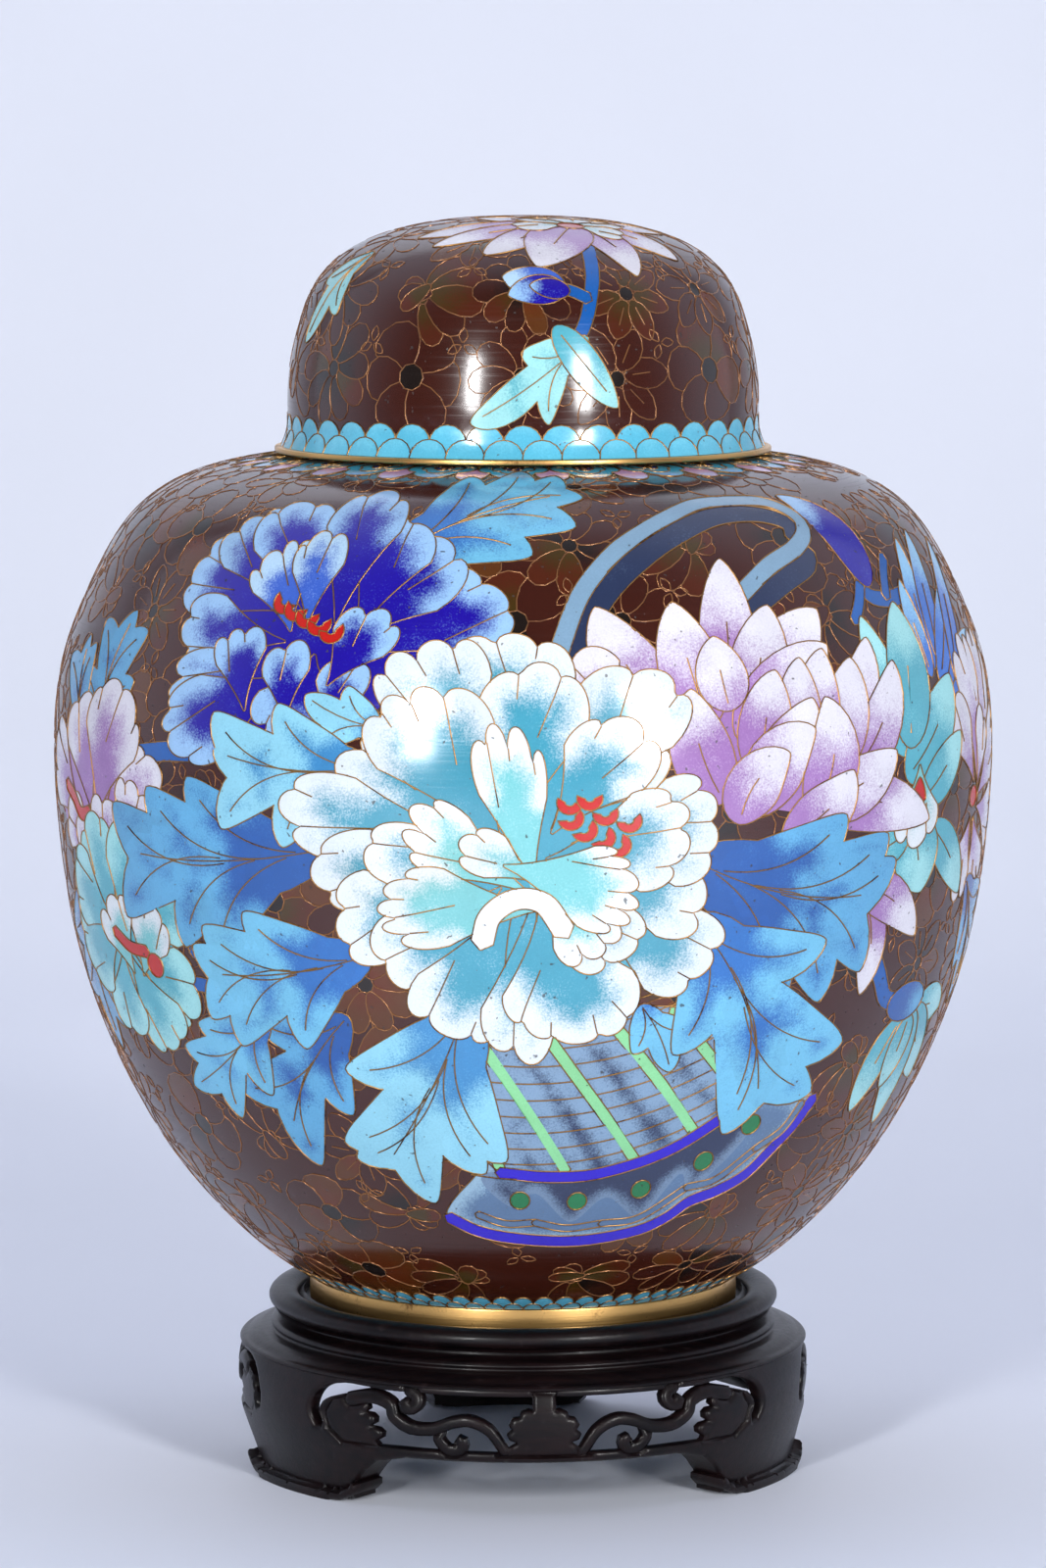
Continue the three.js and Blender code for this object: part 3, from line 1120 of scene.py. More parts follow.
    def _cobalt_bud(self) -> None:
        """Lay the cobalt bud at the upper right, and the pale spikes beside it."""
        spikes = (
            (126, 200, 135, 238, 9), (130, 202, 147, 240, 9), (128, 196, 158, 225, 10),
            (132, 192, 160, 208, 9), (124, 198, 124, 226, 8), (138, 196, 166, 236, 9))
        self._blades(Glaze.SPIKE, 20, *((*spike, 0.05) for spike in spikes))
        Blade((107, 225), (93, 258), 15, -0.14).draw(self.art, Glaze.COBALT, 12)

    def _right_lilac(self) -> None:
        """Lay the pale lilac flower at the right edge."""
        rows = ((150, 165, 166, 206, 22, 3), (150, 165, 146, 208, 20, 3), (150, 162, 178, 180, 22, 3),
                (150, 160, 176, 154, 20, 3), (148, 158, 160, 134, 20, 3), (146, 158, 138, 136, 18, 3),
                (148, 166, 134, 190, 16, 2), (150, 164, 158, 186, 14, 2))
        self._petals(Glaze.LILAC, 14, *rows)
        self.art.cell(ring((147.5, 163), 3.4, 3.2, 12), Glaze.RED)
        self._leaves(Glaze.LEAF_DEEP, 10, (148, 140, 168, 106, 28, 0.08))

    def _right_lotus(self) -> None:
        """Lay the turquoise flower on the right, with its bud low down."""
        rows = ((108, 178, 99.5, 217, 13, 0.03), (108, 172, 134, 198, 18, -0.05), (110, 180, 116, 220, 18, 0),
                (115, 165, 137, 182, 13, -0.04), (120, 158, 142, 137, 13, 0.05), (112, 160, 118, 140, 20, 0),
                (110, 158, 90, 152, 11, 0.05))
        self._blades(Glaze.TURQUOISE, 16, *rows)
        self._petals(Glaze.PEONY_PALE, 9, (114, 176, 114, 153, 21, 3))
        self.art.cell(curve_through(((110, 165), (117, 165.5), (114, 172)), 1.5, True), Glaze.RED)
        self._blades(
            Glaze.TURQUOISE, 16, (128, 104, 150, 103, 13, 0.08), (128, 106, 148, 82, 14, 0),
            (126, 106, 133, 69, 15, 0.03), (122, 104, 112, 76, 13, -0.06), (126, 104, 124, 82, 12, 0.05),
            vein=0.5)
        self.art.cell(ring((122, 108.5), 10, 6), Glaze.LEAF_DEEP, np.array([(130, 108)]), 10)

    def _lilac(self) -> None:
        """Lay the lilac lotus between the peony and the handle."""
        self._bed(
            Glaze.LILAC,
            ((44, 176), (40, 198), (52, 206), (66, 208), (82, 198), (92, 184), (92, 172), (72, 166)))
        rows = ((38, 190, 19, 223, 18, 0.05), (52, 196, 57, 236, 16, 0), (46, 190, 40, 224, 17, 0.02),
                (80, 180, 99, 211, 14, -0.05), (84, 172, 107, 204, 15, -0.08), (78, 174, 91, 206, 17, -0.03),
                (72, 168, 119, 160, 16, 0.06), (74, 168, 104, 180, 16, -0.08), (56, 192, 84, 220, 19, 0.03),
                (56, 190, 68, 222, 17, 0.0), (54, 186, 84, 210, 18, 0.04), (52, 194, 50, 214, 14, 0.02))
        self._blades(Glaze.LILAC, 23, *rows)
        self._blades(
            Glaze.LILAC, 18,
            (86, 144, 83, 113, 11, -0.08), (93, 144, 98, 113.5, 12, 0.1), (88, 145, 118, 128, 13, 0.1))
        self._petals(Glaze.LILAC, 12, (26, 194, 13, 209, 17, 2, 0.08))
        self._blades(
            Glaze.LILAC, 14, (76, 176, 82, 209, 15, 0.06), (72, 176, 74, 207, 14, 0.05),
            (60, 176, 66, 204, 15, 0.05), (50, 170, 42, 200, 16, 0.08), (57, 172, 76, 196, 16, -0.06))
        self._blades(
            Glaze.LILAC, 18, (74, 164, 80, 196, 17, -0.14), (60, 166, 76, 188, 17, 0.16),
            (54, 164, 68, 182, 15, 0.14), (66, 160, 88, 176, 16, -0.12))

    def _basket(self) -> None:
        """Lay the basket: its woven body, and the hemmed foot under it."""
        foot = (
            (-26, 48), (-15, 40.5), (0, 37.5), (20, 36.5), (40, 39.5), (50, 44), (57, 50), (66, 53), (75, 58),
            (82, 66), (88, 74), (92, 84), (65, 88), (30, 76), (-6, 70), (-16, 62))
        body = ((-6, 64), (20, 63), (45, 70), (66, 85), (60, 98), (50, 114), (-8, 114), (-14, 98), (-17, 82))
        hem = (
            (-25, 47.5), (-15, 42), (0, 39), (20, 38), (40, 41), (50, 45.5), (57, 51.5), (66, 54.5),
            (75, 59.5), (81, 67), (87, 75), (91, 83))
        rim = curve_through(foot, 1.5, True)
        self.art.cell(rim, Glaze.FOOT, rim, 8.0)
        shade = (
            (-12, 64), (-4, 52), (4, 57), (16, 46), (27, 55), (40, 47), (50, 62), (56, 56), (70, 74),
            (66, 86), (45, 74), (20, 66))
        group = self.art.new_group()
        self.art.cell(
            curve_through(shade, 1.5, True), Glaze.SLATE, curve_through(shade, 2.0, True), 5.0, group, False)
        scallops = (
            ((-15, 49), (-6, 45.5), (4, 46)), ((4, 46), (15, 43.5), (27, 45)),
            ((27, 45), (40, 46.5), (54, 57)), ((54, 57), (64, 59), (75, 68.5)),
            ((75, 68.5), (83, 74), (87, 82)))
        self._bands(Glaze.HEM, 4.4, hem, step=1.2)
        self._bands(Glaze.FOOT, 2.4, *scallops, step=1.2)
        for spot in ((-1, 54.5), (17.5, 54), (38, 57.5), (57, 66), (70, 77)):
            self.art.cell(ring(spot, 3.4, 3.4, 14), Glaze.DOT)
        ribs = (
            ((-15, 102), (-13, 86), (-7, 66)), ((-16, 114), (-3, 92), (13, 65)),
            ((2, 114), (16, 93), (34, 68)), ((20.5, 114), (36, 95), (52, 75)),
            ((39, 114), (52, 99), (64, 86)))
        light = np.vstack([curve_through(path, 2.0) + (dx, 0) for path in ribs for dx in (-4.5, 4.5)])
        self.art.cell(curve_through(body, 1.5, True), Glaze.BASKET, light, 6.5)
        for k in range(11):
            weave = [(x, 62 + 5.2 * k + 0.005 * (x - 2) ** 2) for x in range(-16, 66, 6)]
            self.art.stroke(curve_through(weave, 1.5))
        self._bands(Glaze.GREEN, 3.0, *ribs)
        self._bands(Glaze.HEM, 3.6, ((-7, 64.5), (8, 63), (24, 64), (45, 71), (66, 85)))

    def _right_leaves(self) -> None:
        """Lay the leaves between the peony and the right-hand flowers, and those over the basket."""
        self._leaves(Glaze.LEAF_DEEP, 9, (40, 156, 99, 142, 50, -0.08, 3))
        self._leaves(Glaze.LEAF, 11, (30, 116, 40, 96, 16, 0.05, 1), (42, 140, 70, 82, 46, 0.07, 3))

    def _left_flowers(self) -> None:
        """Lay the flowers at the left edge."""
        self._leaves(
            Glaze.LEAF_DEEP, 9, (-128, 176, -122, 217, 26, 0.05), (-134, 170, -146, 208, 22, 0.08),
            (-140, 146, -150, 90, 34, -0.05))
        self._bed(Glaze.LILAC, ((-150, 180), (-120, 184), (-106, 170), (-116, 152), (-140, 146), (-158, 160)))
        self._petals(
            Glaze.LILAC, 13, (-132, 158, -142, 193, 27, 3, 0.1), (-138, 156, -169, 176, 26, 3, 0.1),
            (-128, 158, -102, 176, 24, 3, 0.1), (-130, 158, -119, 195, 30, 4, 0.1))
        self._petals(
            Glaze.LILAC, 8, (-140, 148, -152, 161, 20, 3), (-118, 150, -109, 171, 17, 3),
            (-130, 148, -124, 166, 17, 2), (-138, 142, -138, 160, 18, 3))
        self._bands(Glaze.RED, 3.6, ((-152, 166), (-146, 163), (-141, 159), (-135, 160)), step=1.2)
        self._bed(
            Glaze.TURQUOISE, ((-138, 144), (-118, 148), (-100, 136), (-100, 114), (-118, 102), (-140, 112)))
        self._petals(
            Glaze.TURQUOISE, 11, (-124, 128, -136, 158, 24, 3, 0.1), (-122, 128, -114, 158, 22, 2, 0.1),
            (-120, 128, -92, 142, 24, 3, 0.1), (-120, 124, -93, 112, 24, 3, 0.1),
            (-122, 124, -108, 95, 24, 3, 0.1), (-124, 124, -132, 97, 22, 2, 0.1),
            (-124, 126, -153, 118, 28, 3, 0.1), (-124, 128, -153, 142, 24, 3, 0.1))
        self._petals(Glaze.PEONY_PALE, 7, (-120, 116, -129, 138, 20, 3), (-116, 116, -106, 136, 18, 3))
        self._bands(Glaze.RED, 3.4, ((-127, 128), (-120, 124.5), (-112, 124)), step=1.2)
        self.art.cell(ring((-109, 120.5), 3.6, 3.6, 14), Glaze.RED)

    def _blue_peony(self) -> None:
        """Lay the cobalt peony at the upper left, and the leaf that stands over it."""
        self._leaves(Glaze.LEAF, 11, (-38, 236, 15, 263, 42, 0.06, 3))
        self._bed(Glaze.COBALT, (
            (-94, 228), (-84, 243), (-66, 246), (-48, 250), (-30, 240), (-14, 230), (-28, 204), (-46, 188),
            (-70, 186), (-88, 192), (-90, 210)))
        rows = (
            (-60, 220, -105, 232, 24, 3, 0.1), (-62, 220, -93, 249, 24, 3, 0.1),
            (-58, 218, -77, 256, 28, 3, 0.1), (-46, 208, -5, 228, 26, 3, 0.1),
            (-46, 212, -20, 240, 24, 2, 0.12), (-44, 214, -34, 252, 26, 2, 0.1),
            (-50, 216, -48, 262, 27, 3, 0.1), (-62, 212, -99, 214, 22, 3, 0.12), (-60, 204, -98, 200, 18, 2),
            (-58, 204, -96, 184, 26, 4, 0.1), (-54, 210, -58, 182, 30, 4))
        self._petals(Glaze.COBALT, 9.5, *rows)
        self._petals(
            Glaze.COBALT, 6, (-72, 192, -79, 216, 17, 3), (-60, 190, -63, 212, 15, 2),
            (-50, 188, -44, 208, 15, 2), (-50, 200, -38, 222, 19, 3))
        self._petals(Glaze.COBALT_PALE, 7, (-62, 214, -74, 240, 22, 4), (-58, 216, -60, 244, 18, 3))
        self._stamens(7.4, *((-67 + 4.2 * k, 222 - 1.9 * k, 240 + 12 * k) for k in range(5)))

    def _left_leaves(self) -> None:
        """Lay the leaves on the left, under the main peony."""
        self._leaves(Glaze.LEAF_DEEP, 9, (-48, 158, -116, 152, 44, 0.04, 3))
        self._leaves(
            Glaze.LEAF_PALE, 10, (-34, 190, -55, 198, 16, 0.06, 1), (-36, 180, -81, 182, 34, 0.06, 2))
        self._leaves(Glaze.LEAF_DEEP, 8, (-46, 112, -72, 74, 32, -0.05, 2))
        self._leaves(Glaze.LEAF, 9, (-70, 112, -107, 85, 26, 0.06, 2), (-38, 130, -88, 121, 36, 0.05, 3))
        self._leaves(Glaze.LEAF_PALE, 12, (-14, 118, -43, 65, 46, 0.05, 3))

    def _main_peony(self) -> None:
        """Lay the big peony in the middle."""
        self._bed(Glaze.PEONY, (
            (0, 204), (24, 190), (38, 164), (34, 136), (14, 116), (-14, 118), (-34, 136), (-40, 160),
            (-28, 188)))
        outer = (
            (0, 168, -3, 218, 32, 3, 0.1), (-8, 168, -27, 215, 30, 4, 0.1), (-4, 162, -42, 186, 24, 2, 0.12),
            (-8, 160, -59, 168, 25, 3, 0.12), (-8, 156, -51, 151, 24, 3, 0.1),
            (-8, 152, -48, 136, 26, 3, 0.1), (-4, 150, -35, 122, 27, 3, 0.1), (-1, 148, -22, 106, 26, 3, 0.1),
            (3, 148, -3, 100, 20, 2, 0.1), (10, 148, 49, 124, 26, 3, 0.1), (10, 152, 47, 144, 24, 3, 0.1),
            (4, 148, 15, 106, 36, 5, 0.08), (10, 160, 50, 164, 30, 4, 0.1), (6, 163, 29, 192, 28, 3, 0.1),
            (7, 166, 33, 206, 30, 3, 0.1))
        self._petals(Glaze.PEONY, 11.5, *outer)
        middle = (
            (0, 164, 3, 206, 30, 3, 0.12), (-4, 158, -29, 201, 33, 4, 0.1), (6, 162, 27, 191, 25, 3, 0.12),
            (4, 156, 41, 162, 28, 4, 0.12), (-2, 152, -38, 156, 22, 3, 0.14), (4, 150, 26, 128, 22, 3, 0.12))
        self._petals(Glaze.PEONY, 10.5, *middle)
        self._petals(
            Glaze.PEONY_PALE, 7, (3, 146, -5, 190, 19, 4, 0.2), (2, 147, -28, 166, 20, 4, 0.2),
            (4, 150, -14, 161, 14, 3), (4, 150, 20, 129, 18, 3))
        spots = ((11, 170), (16, 171), (20, 167), (26, 165), (12, 166), (15.5, 163), (20, 161), (24, 159))
        self._stamens(6.6, *((*spot, 262 + 9 * k) for k, spot in enumerate(spots)))
        self._petals(Glaze.PEONY_PALE, 7, (-6, 155, 28, 146, 24, 6, 0.16), (6, 143, -34, 143, 24, 5, 0.16))
        self._bands(Glaze.WHITE, 5.4, ((-10, 134), (-8, 141), (-2, 145.5), (5, 144.5), (10, 137)), step=1.2)


@dataclass(frozen=True)
class LidPicture:
    """The lid's picture: a lotus blossom near the crown, with leaves and a bud down the front."""

    art: Picture

    def spot(self, across: float, run: float) -> Pair:
        """Put a place measured round the skirt, at a radius of 60, and up the wall on the chart."""
        x, y = self.art.chart.flat(across / 60, run)
        return float(x), float(y)

    def draw(self) -> Picture:
        """Draw the whole picture, from the ground up.

        Returns:
            The finished picture.
        """
        art, spot = self.art, self.spot
        Ground(11, art.chart.line.length - 8, 29.0).draw(art)
        ScaleBorder(40, (9.5, 5.5)).draw(art)
        for width, *path in (
                (4.0, (30, 76), (24, 64), (20, 48), (15, 34), (6, 24)), (3.4, (18, 44), (13, 46.5), (8, 47))):
            Band(tuple(spot(*place) for place in path), width).draw(art, Glaze.STEM)
        for root, tip, spread, bend in (
                ((17, 33), (-13, 10), 20, 0.1), ((-60, 60), (-74, 30), 18, 0.06),
                ((150, 60), (140, 28), 22, 0.06), ((-150, 50), (-160, 24), 20, -0.06)):
            Leaf(spot(*root), spot(*tip), spread, bend, 1).draw(art, Glaze.TURQUOISE, 11)
        Blade(spot(8, 36), spot(24, 14), 11, -0.05).draw(art, Glaze.TURQUOISE, 13, 0.8)
        self._bud()
        self._blossom((13, -25), 1.0)
        self._blossom((-20, 46), 0.8)
        return art

    def _bud(self) -> None:
        """Lay the cobalt bud on the front."""
        spot, art = self.spot, self.art
        Blade(spot(12, 47), spot(-6, 51), 11, 0.03).draw(art, Glaze.COBALT_PALE, 8)
        Blade(spot(12, 46), spot(-4, 45), 9, -0.05).draw(art, Glaze.COBALT, 7)
        Blade(spot(13, 46), spot(2, 48), 6, 0).draw(art, Glaze.COBALT, 3)

    def _blossom(self, heart: Pair, size: float) -> None:
        """Lay a pale lotus blossom.

        Args:
            heart: Its red heart, on the chart.
            size: Its size, 1 for the front one.
        """
        x, y = heart
        rows = (
            (0, 24, 16), (26, 17, 14), (-26, 18, 14), (31, -6, 14), (-42, -4, 14), (-38, -14, 12),
            (20, -24, 13), (-24, -24, 13), (-9, -30, 18))
        for dx, dy, width in rows:
            petal = Blade(heart, (x + dx * size, y + dy * size), width * size, 0.03)
            petal.draw(self.art, Glaze.LILAC, 16 * size, 0.6)
        for dx, dy in ((-12, 12), (12, 11), (0, 15), (-15, -4), (15, -3)):
            Petal((x, y), (x + dx * size, y + dy * size), 13 * size, 2).draw(self.art, Glaze.PEONY_PALE, 9)
        self.art.cell(ring(heart, 4 * size, 4 * size, 14), Glaze.RED)


class Value:
    """A number from a node's socket, so that shader maths can be written as sums."""

    def __init__(self, nodes: "Nodes", socket: Socket) -> None:
        """Wrap a socket of a tree."""
        self.nodes, self.socket = nodes, socket

    def maths(self, operation: str, *terms: "Value | float") -> "Value":
        """Join this number to others with one maths node."""
        made = self.nodes.add("ShaderNodeMath", {"operation": operation}, dict(enumerate((self, *terms))))
        return Value(self.nodes, made.outputs[0])

    def __add__(self, other: "Value | float") -> "Value":
        """Add."""
        return self.maths("ADD", other)

    def __sub__(self, other: "Value | float") -> "Value":
        """Take away."""
        return self.maths("SUBTRACT", other)

    def __rsub__(self, other: float) -> "Value":
        """Take this away from a number."""
        return (self * -1) + other

    def __mul__(self, other: "Value | float") -> "Value":
        """Multiply."""
        return self.maths("MULTIPLY", other)

    __radd__, __rmul__ = __add__, __mul__

    def between(self, low: float, high: float) -> "Value":
        """Rise smoothly from 0 at one value to 1 at another.

        Args:
            low: The value with 0.
            high: The value with 1.

        Returns:
            The share, from 0 to 1.
        """
        values = {"Value": self, "From Min": low, "From Max": high}
        made = self.nodes.add("ShaderNodeMapRange", {"interpolation_type": "SMOOTHSTEP"}, values)
        return Value(self.nodes, made.outputs[0])


class Nodes:
    """A node tree that is filled through one method."""

    def __init__(self, tree: bpy.types.NodeTree) -> None:
        """Wrap an empty tree."""
        self.tree = tree

    def add(
            self, kind: str, settings: dict[str, Any] | None = None,
            values: dict[Any, Any] | None = None) -> bpy.types.Node:
        """Make one node.

        Args:
            kind: The node's type.
            settings: Its properties.
            values: Its inputs, by name or number: plain values, sockets or wrapped numbers.

        Returns:
            The node.
        """
        node = self.tree.nodes.new(kind)
        for name, value in (settings or {}).items():
            setattr(node, name, value)
        for name, value in (values or {}).items():
            socket = node.inputs[name]
            source = value.socket if isinstance(value, Value) else value
            if isinstance(source, Socket):
                self.tree.links.new(source, socket)
            elif isinstance(source, tuple) and len(source) == 3 and socket.type == "RGBA":
                socket.default_value = (*source, 1.0)
            else:
                socket.default_value = source
        return node


class Shader(Nodes):
    """A material's tree, with the patterns that the finishes share."""

    def __init__(self, name: str) -> None:
        """Start a material.

        Args:
            name: The material's name.
        """
        self.material = bpy.data.materials.new(name)
        self.material.use_nodes = True
        super().__init__(self.material.node_tree)
        self.tree.nodes.clear()
        self.place = self.add("ShaderNodeTexCoord").outputs["Object"]

    def stretched(self, x: float, y: float, z: float) -> Socket:
        """Give the place with each axis multiplied."""
        return self.add(
            "ShaderNodeVectorMath", {"operation": "MULTIPLY"}, {0: self.place, 1: (x, y, z)}).outputs[0]

    def noise(self, scale: float, detail: float = 2.0, vector: Socket | None = None) -> Value:
        """Give a cloudy pattern, about 0.5.

        Args:
            scale: How many of its blots fit in a metre.
            detail: How many finer layers it has.
            vector: Where to read it, or none for the plain place.

        Returns:
            The pattern's value.
        """
        values = {"Vector": vector or self.place, "Scale": scale, "Detail": detail}
        return Value(self, self.add("ShaderNodeTexNoise", {}, values).outputs[0])

    def attribute(self, name: str) -> bpy.types.Node:
        """Read a named attribute of the mesh."""
        return self.add("ShaderNodeAttribute", {"attribute_name": name})

    def blend(self, share: Value | float, first: Any, second: Any, mode: str = "MIX") -> Socket:
        """Mix two colours."""
        settings = {"data_type": "RGBA", "blend_type": mode}
        return self.add("ShaderNodeMix", settings, {0: share, 6: first, 7: second}).outputs[2]

    def bump(self, height: Value, depth: float, strength: float = 1.0) -> Socket:
        """Turn a height, 0 to 1, into a normal, with its depth in millimetres."""
        values = {"Height": height, "Distance": depth * MM, "Strength": strength}
        return self.add("ShaderNodeBump", {}, values).outputs[0]

    def finish(self, values: dict[str, Any]) -> Material:
        """End the tree in one surface.

        Args:
            values: The surface's inputs by name.

        Returns:
            The material.
        """
        surface = self.add("ShaderNodeBsdfPrincipled", {}, values)
        self.add("ShaderNodeOutputMaterial", {}, {"Surface": surface.outputs[0]})
        return self.material


@dataclass(frozen=True)
class EnamelFinish:
    """Fired enamel, polished flush: it reads its colours from the cells."""

    name: str = "enamel"
    grain: float = 0.9  # how much the light edge breaks up
    roughness: float = 0.15

    def build(self) -> Material:
        """Make the material.

        Returns:
            The material.
        """
        s = Shader(self.name)
        deep, light = s.attribute("deep").outputs["Color"], s.attribute("light").outputs["Color"]
        fade = Value(s, s.attribute("fade").outputs["Fac"])
        tone = Value(s, s.attribute("tone").outputs["Fac"])
        fine, cloud, spread = s.noise(2000, 4), s.noise(110, 4), s.noise(22, 2)
        share = (fade + (fine - 0.5) * self.grain + (cloud - 0.5) * 0.7).between(0.06, 0.84)
        body = s.blend(share, deep, light)
        shade = 0.78 + 0.22 * cloud + 0.3 * fine + 0.06 * tone
        shaded = s.add("ShaderNodeVectorMath", {"operation": "SCALE"}, {0: body, "Scale": shade}).outputs[0]
        stain = spread.between(0.62, 0.74) * 0.22
        stained = s.blend(stain, shaded, colour(226, 206, 160), "MULTIPLY")
        pits = s.noise(620, 1).between(0.73, 0.77)
        specked = s.blend(pits * 0.75, stained, colour(28, 18, 14))
        lines = s.noise(1, 2, s.stretched(26, 26, 2600))
        rough = self.roughness + 0.12 * lines.between(0.5, 0.8) + 0.35 * pits
        wave = s.noise(34, 1)
        height = lines * 0.1 + wave - pits * 0.4
        return s.finish({
            "Base Color": specked, "Roughness": rough, "IOR": 1.6, "Normal": s.bump(height, 0.05, 0.6)})


@dataclass(frozen=True)
class PlainEnamelFinish:
    """The enamel that backs the copper inside and underneath."""

    name: str = "enamel_inside"
    body: Triple = colour(58, 132, 168)

    def build(self) -> Material:
        """Make the material.

        Returns:
            The material.
        """
        s = Shader(self.name)
        cloud, fine = s.noise(60, 4), s.noise(900, 2)
        deep = s.blend(cloud.between(0.35, 0.7), self.body, colour(40, 104, 146))
        specked = s.blend(fine.between(0.68, 0.76) * 0.7, deep, colour(22, 40, 56))
        return s.finish({
            "Base Color": specked, "Roughness": 0.22 + 0.2 * fine, "Normal": s.bump(cloud + fine, 0.12)})


@dataclass(frozen=True)
class MetalFinish:
    """Gilded metal, brushed round the turning."""

    name: str
    bright: Triple
    dark: Triple
    roughness: float
    tarnish: float  # how much of it has darkened
    scratch: float = 0.02  # how deep the brushing is, in millimetres
    metallic: float = 1.0  # how much of it is bare metal, the rest a clear skin over it

    def build(self) -> Material:
        """Make the material.

        Returns:
            The material.
        """
        s = Shader(self.name)
        cloud, fine = s.noise(120, 4), s.noise(1400, 2)
        lines = s.noise(1, 2, s.stretched(40, 40, 3200))
        low = 0.78 - self.tarnish
        worn = (cloud * 0.7 + fine * 0.3).between(low, low + 0.2)
        body = s.blend(worn, self.bright, self.dark)
        return s.finish({
            "Base Color": body, "Metallic": self.metallic,
            "Roughness": self.roughness + 0.16 * lines + 0.2 * worn,
            "Normal": s.bump(lines + fine * 0.4, self.scratch)})


@dataclass(frozen=True)
class WoodFinish:
    """Hardwood stained nearly black and lacquered."""

    name: str = "stand_wood"
    deep: Triple = colour(7, 4, 6)  # the colour in the pores
    warm: Triple = colour(22, 11, 12)  # the colour where the grain shows

    def build(self) -> Material:
        """Make the material.

        Returns:
            The material.
        """
        s = Shader(self.name)
        grain = s.noise(1, 4, s.stretched(60, 420, 420))
        cloud, pores = s.noise(45, 3), s.noise(1, 2, s.stretched(260, 2200, 2200))
        share = (grain * 0.7 + cloud * 0.5 - 0.1).between(0.34, 0.7)
        body = s.blend(share, self.deep, self.warm)
        dusty = s.blend(s.noise(300, 3).between(0.6, 0.8) * 0.1, body, colour(90, 78, 80))
        rough = 0.22 + 0.22 * pores + 0.1 * cloud
        return s.finish({
            "Base Color": dusty, "Roughness": rough, "IOR": 1.3, "Coat Weight": 0.05, "Coat Roughness": 0.1,
            "Normal": s.bump(grain * 0.6 + pores * 0.4 + cloud, 0.09)})


@dataclass(frozen=True)
class StudioFinish:
    """The pale paper of the floor and the backdrop, which is left open from behind."""

    name: str = "studio_paper"
    body: Triple = colour(224, 228, 240)

    def build(self) -> Material:
        """Make the material.

        Returns:
            The material.
        """
        s = Shader(self.name)
        cloud = s.noise(3, 2)
        body = s.blend(cloud.between(0.3, 0.7), self.body, tuple(0.97 * c for c in self.body))
        behind = Value(s, s.add("ShaderNodeNewGeometry").outputs["Backfacing"])
        return s.finish({"Base Color": body, "Roughness": 0.6, "Alpha": 1 - behind})


def smooth_mesh(name: str, spots: Any, faces: list[Any]) -> Mesh:
    """Make a mesh that shades smooth.

    Args:
        name: The mesh's name.
        spots: Its points, in metres.
        faces: Its faces.

    Returns:
        The mesh.
    """
    mesh = bpy.data.meshes.new(name)
    mesh.from_pydata(np.asarray(spots).tolist(), [], faces)
    mesh.polygons.foreach_set("use_smooth", np.ones(len(faces), bool))
    return mesh


def make_object(name: str, mesh: Mesh, materials: Sequence[Material]) -> Piece:
    """Put a mesh in the scene.

    Args:
        name: The object's name.
        mesh: Its mesh.
        materials: Its materials, in slot order.

    Returns:
        The object, at the origin.
    """
    for material in materials:
        mesh.materials.append(material)
    made = bpy.data.objects.new(name, mesh)
    bpy.context.scene.collection.objects.link(made)
    return made


def weld_seam(chart: BeltChart | CapChart, points: Array, faces: Array, marks: Array) -> tuple[Array, Array]:
    """Join the two sides of an unrolled chart's seam.

    Args:
        chart: The chart.
        points: Its points.
        faces: Its triangles.
        marks: What each triangle shows.

    Returns:
        The triangles and their marks, with the right side's points replaced by the left side's.
    """
    if isinstance(chart, CapChart):
        return faces, marks
    left = np.nonzero(points[:, 0] < SEAM - chart.half)[0]
    right = np.nonzero(points[:, 0] > chart.half - SEAM)[0]
    nearest = np.abs(points[right, 1][:, None] - points[left, 1][None]).argmin(axis=1)
    same = np.arange(len(points))
    same[right] = left[nearest]
    faces = same[faces]
    whole = (faces != np.roll(faces, 1, axis=1)).all(axis=1)
    return faces[whole], marks[whole]


def open_edges(faces: Array) -> Array:
    """List the edges that only one triangle has, in the direction that it runs.

    Args:
        faces: The triangles.

    Returns:
        The vertices of each edge.
    """
    edges = np.vstack([faces[:, [0, 1]], faces[:, [1, 2]], faces[:, [2, 0]]])
    top = int(faces.max()) + 1
    return edges[~np.isin(edges[:, 0] * top + edges[:, 1], edges[:, 1] * top + edges[:, 0])]


def boundary_loops(faces: Array) -> list[list[int]]:
    """Find the open edges of a set of triangles.

    Args:
        faces: The triangles.

    Returns:
        Each loop's vertices, in the order that the triangles run.
    """
    follow = {int(a): int(b) for a, b in open_edges(faces)}
    loops = []
    while follow:
        start, at = follow.popitem()
        loop = [start]
        while at != start and at in follow:
            loop.append(at)
            at = follow.pop(at)
        loops.append(loop)
    return loops


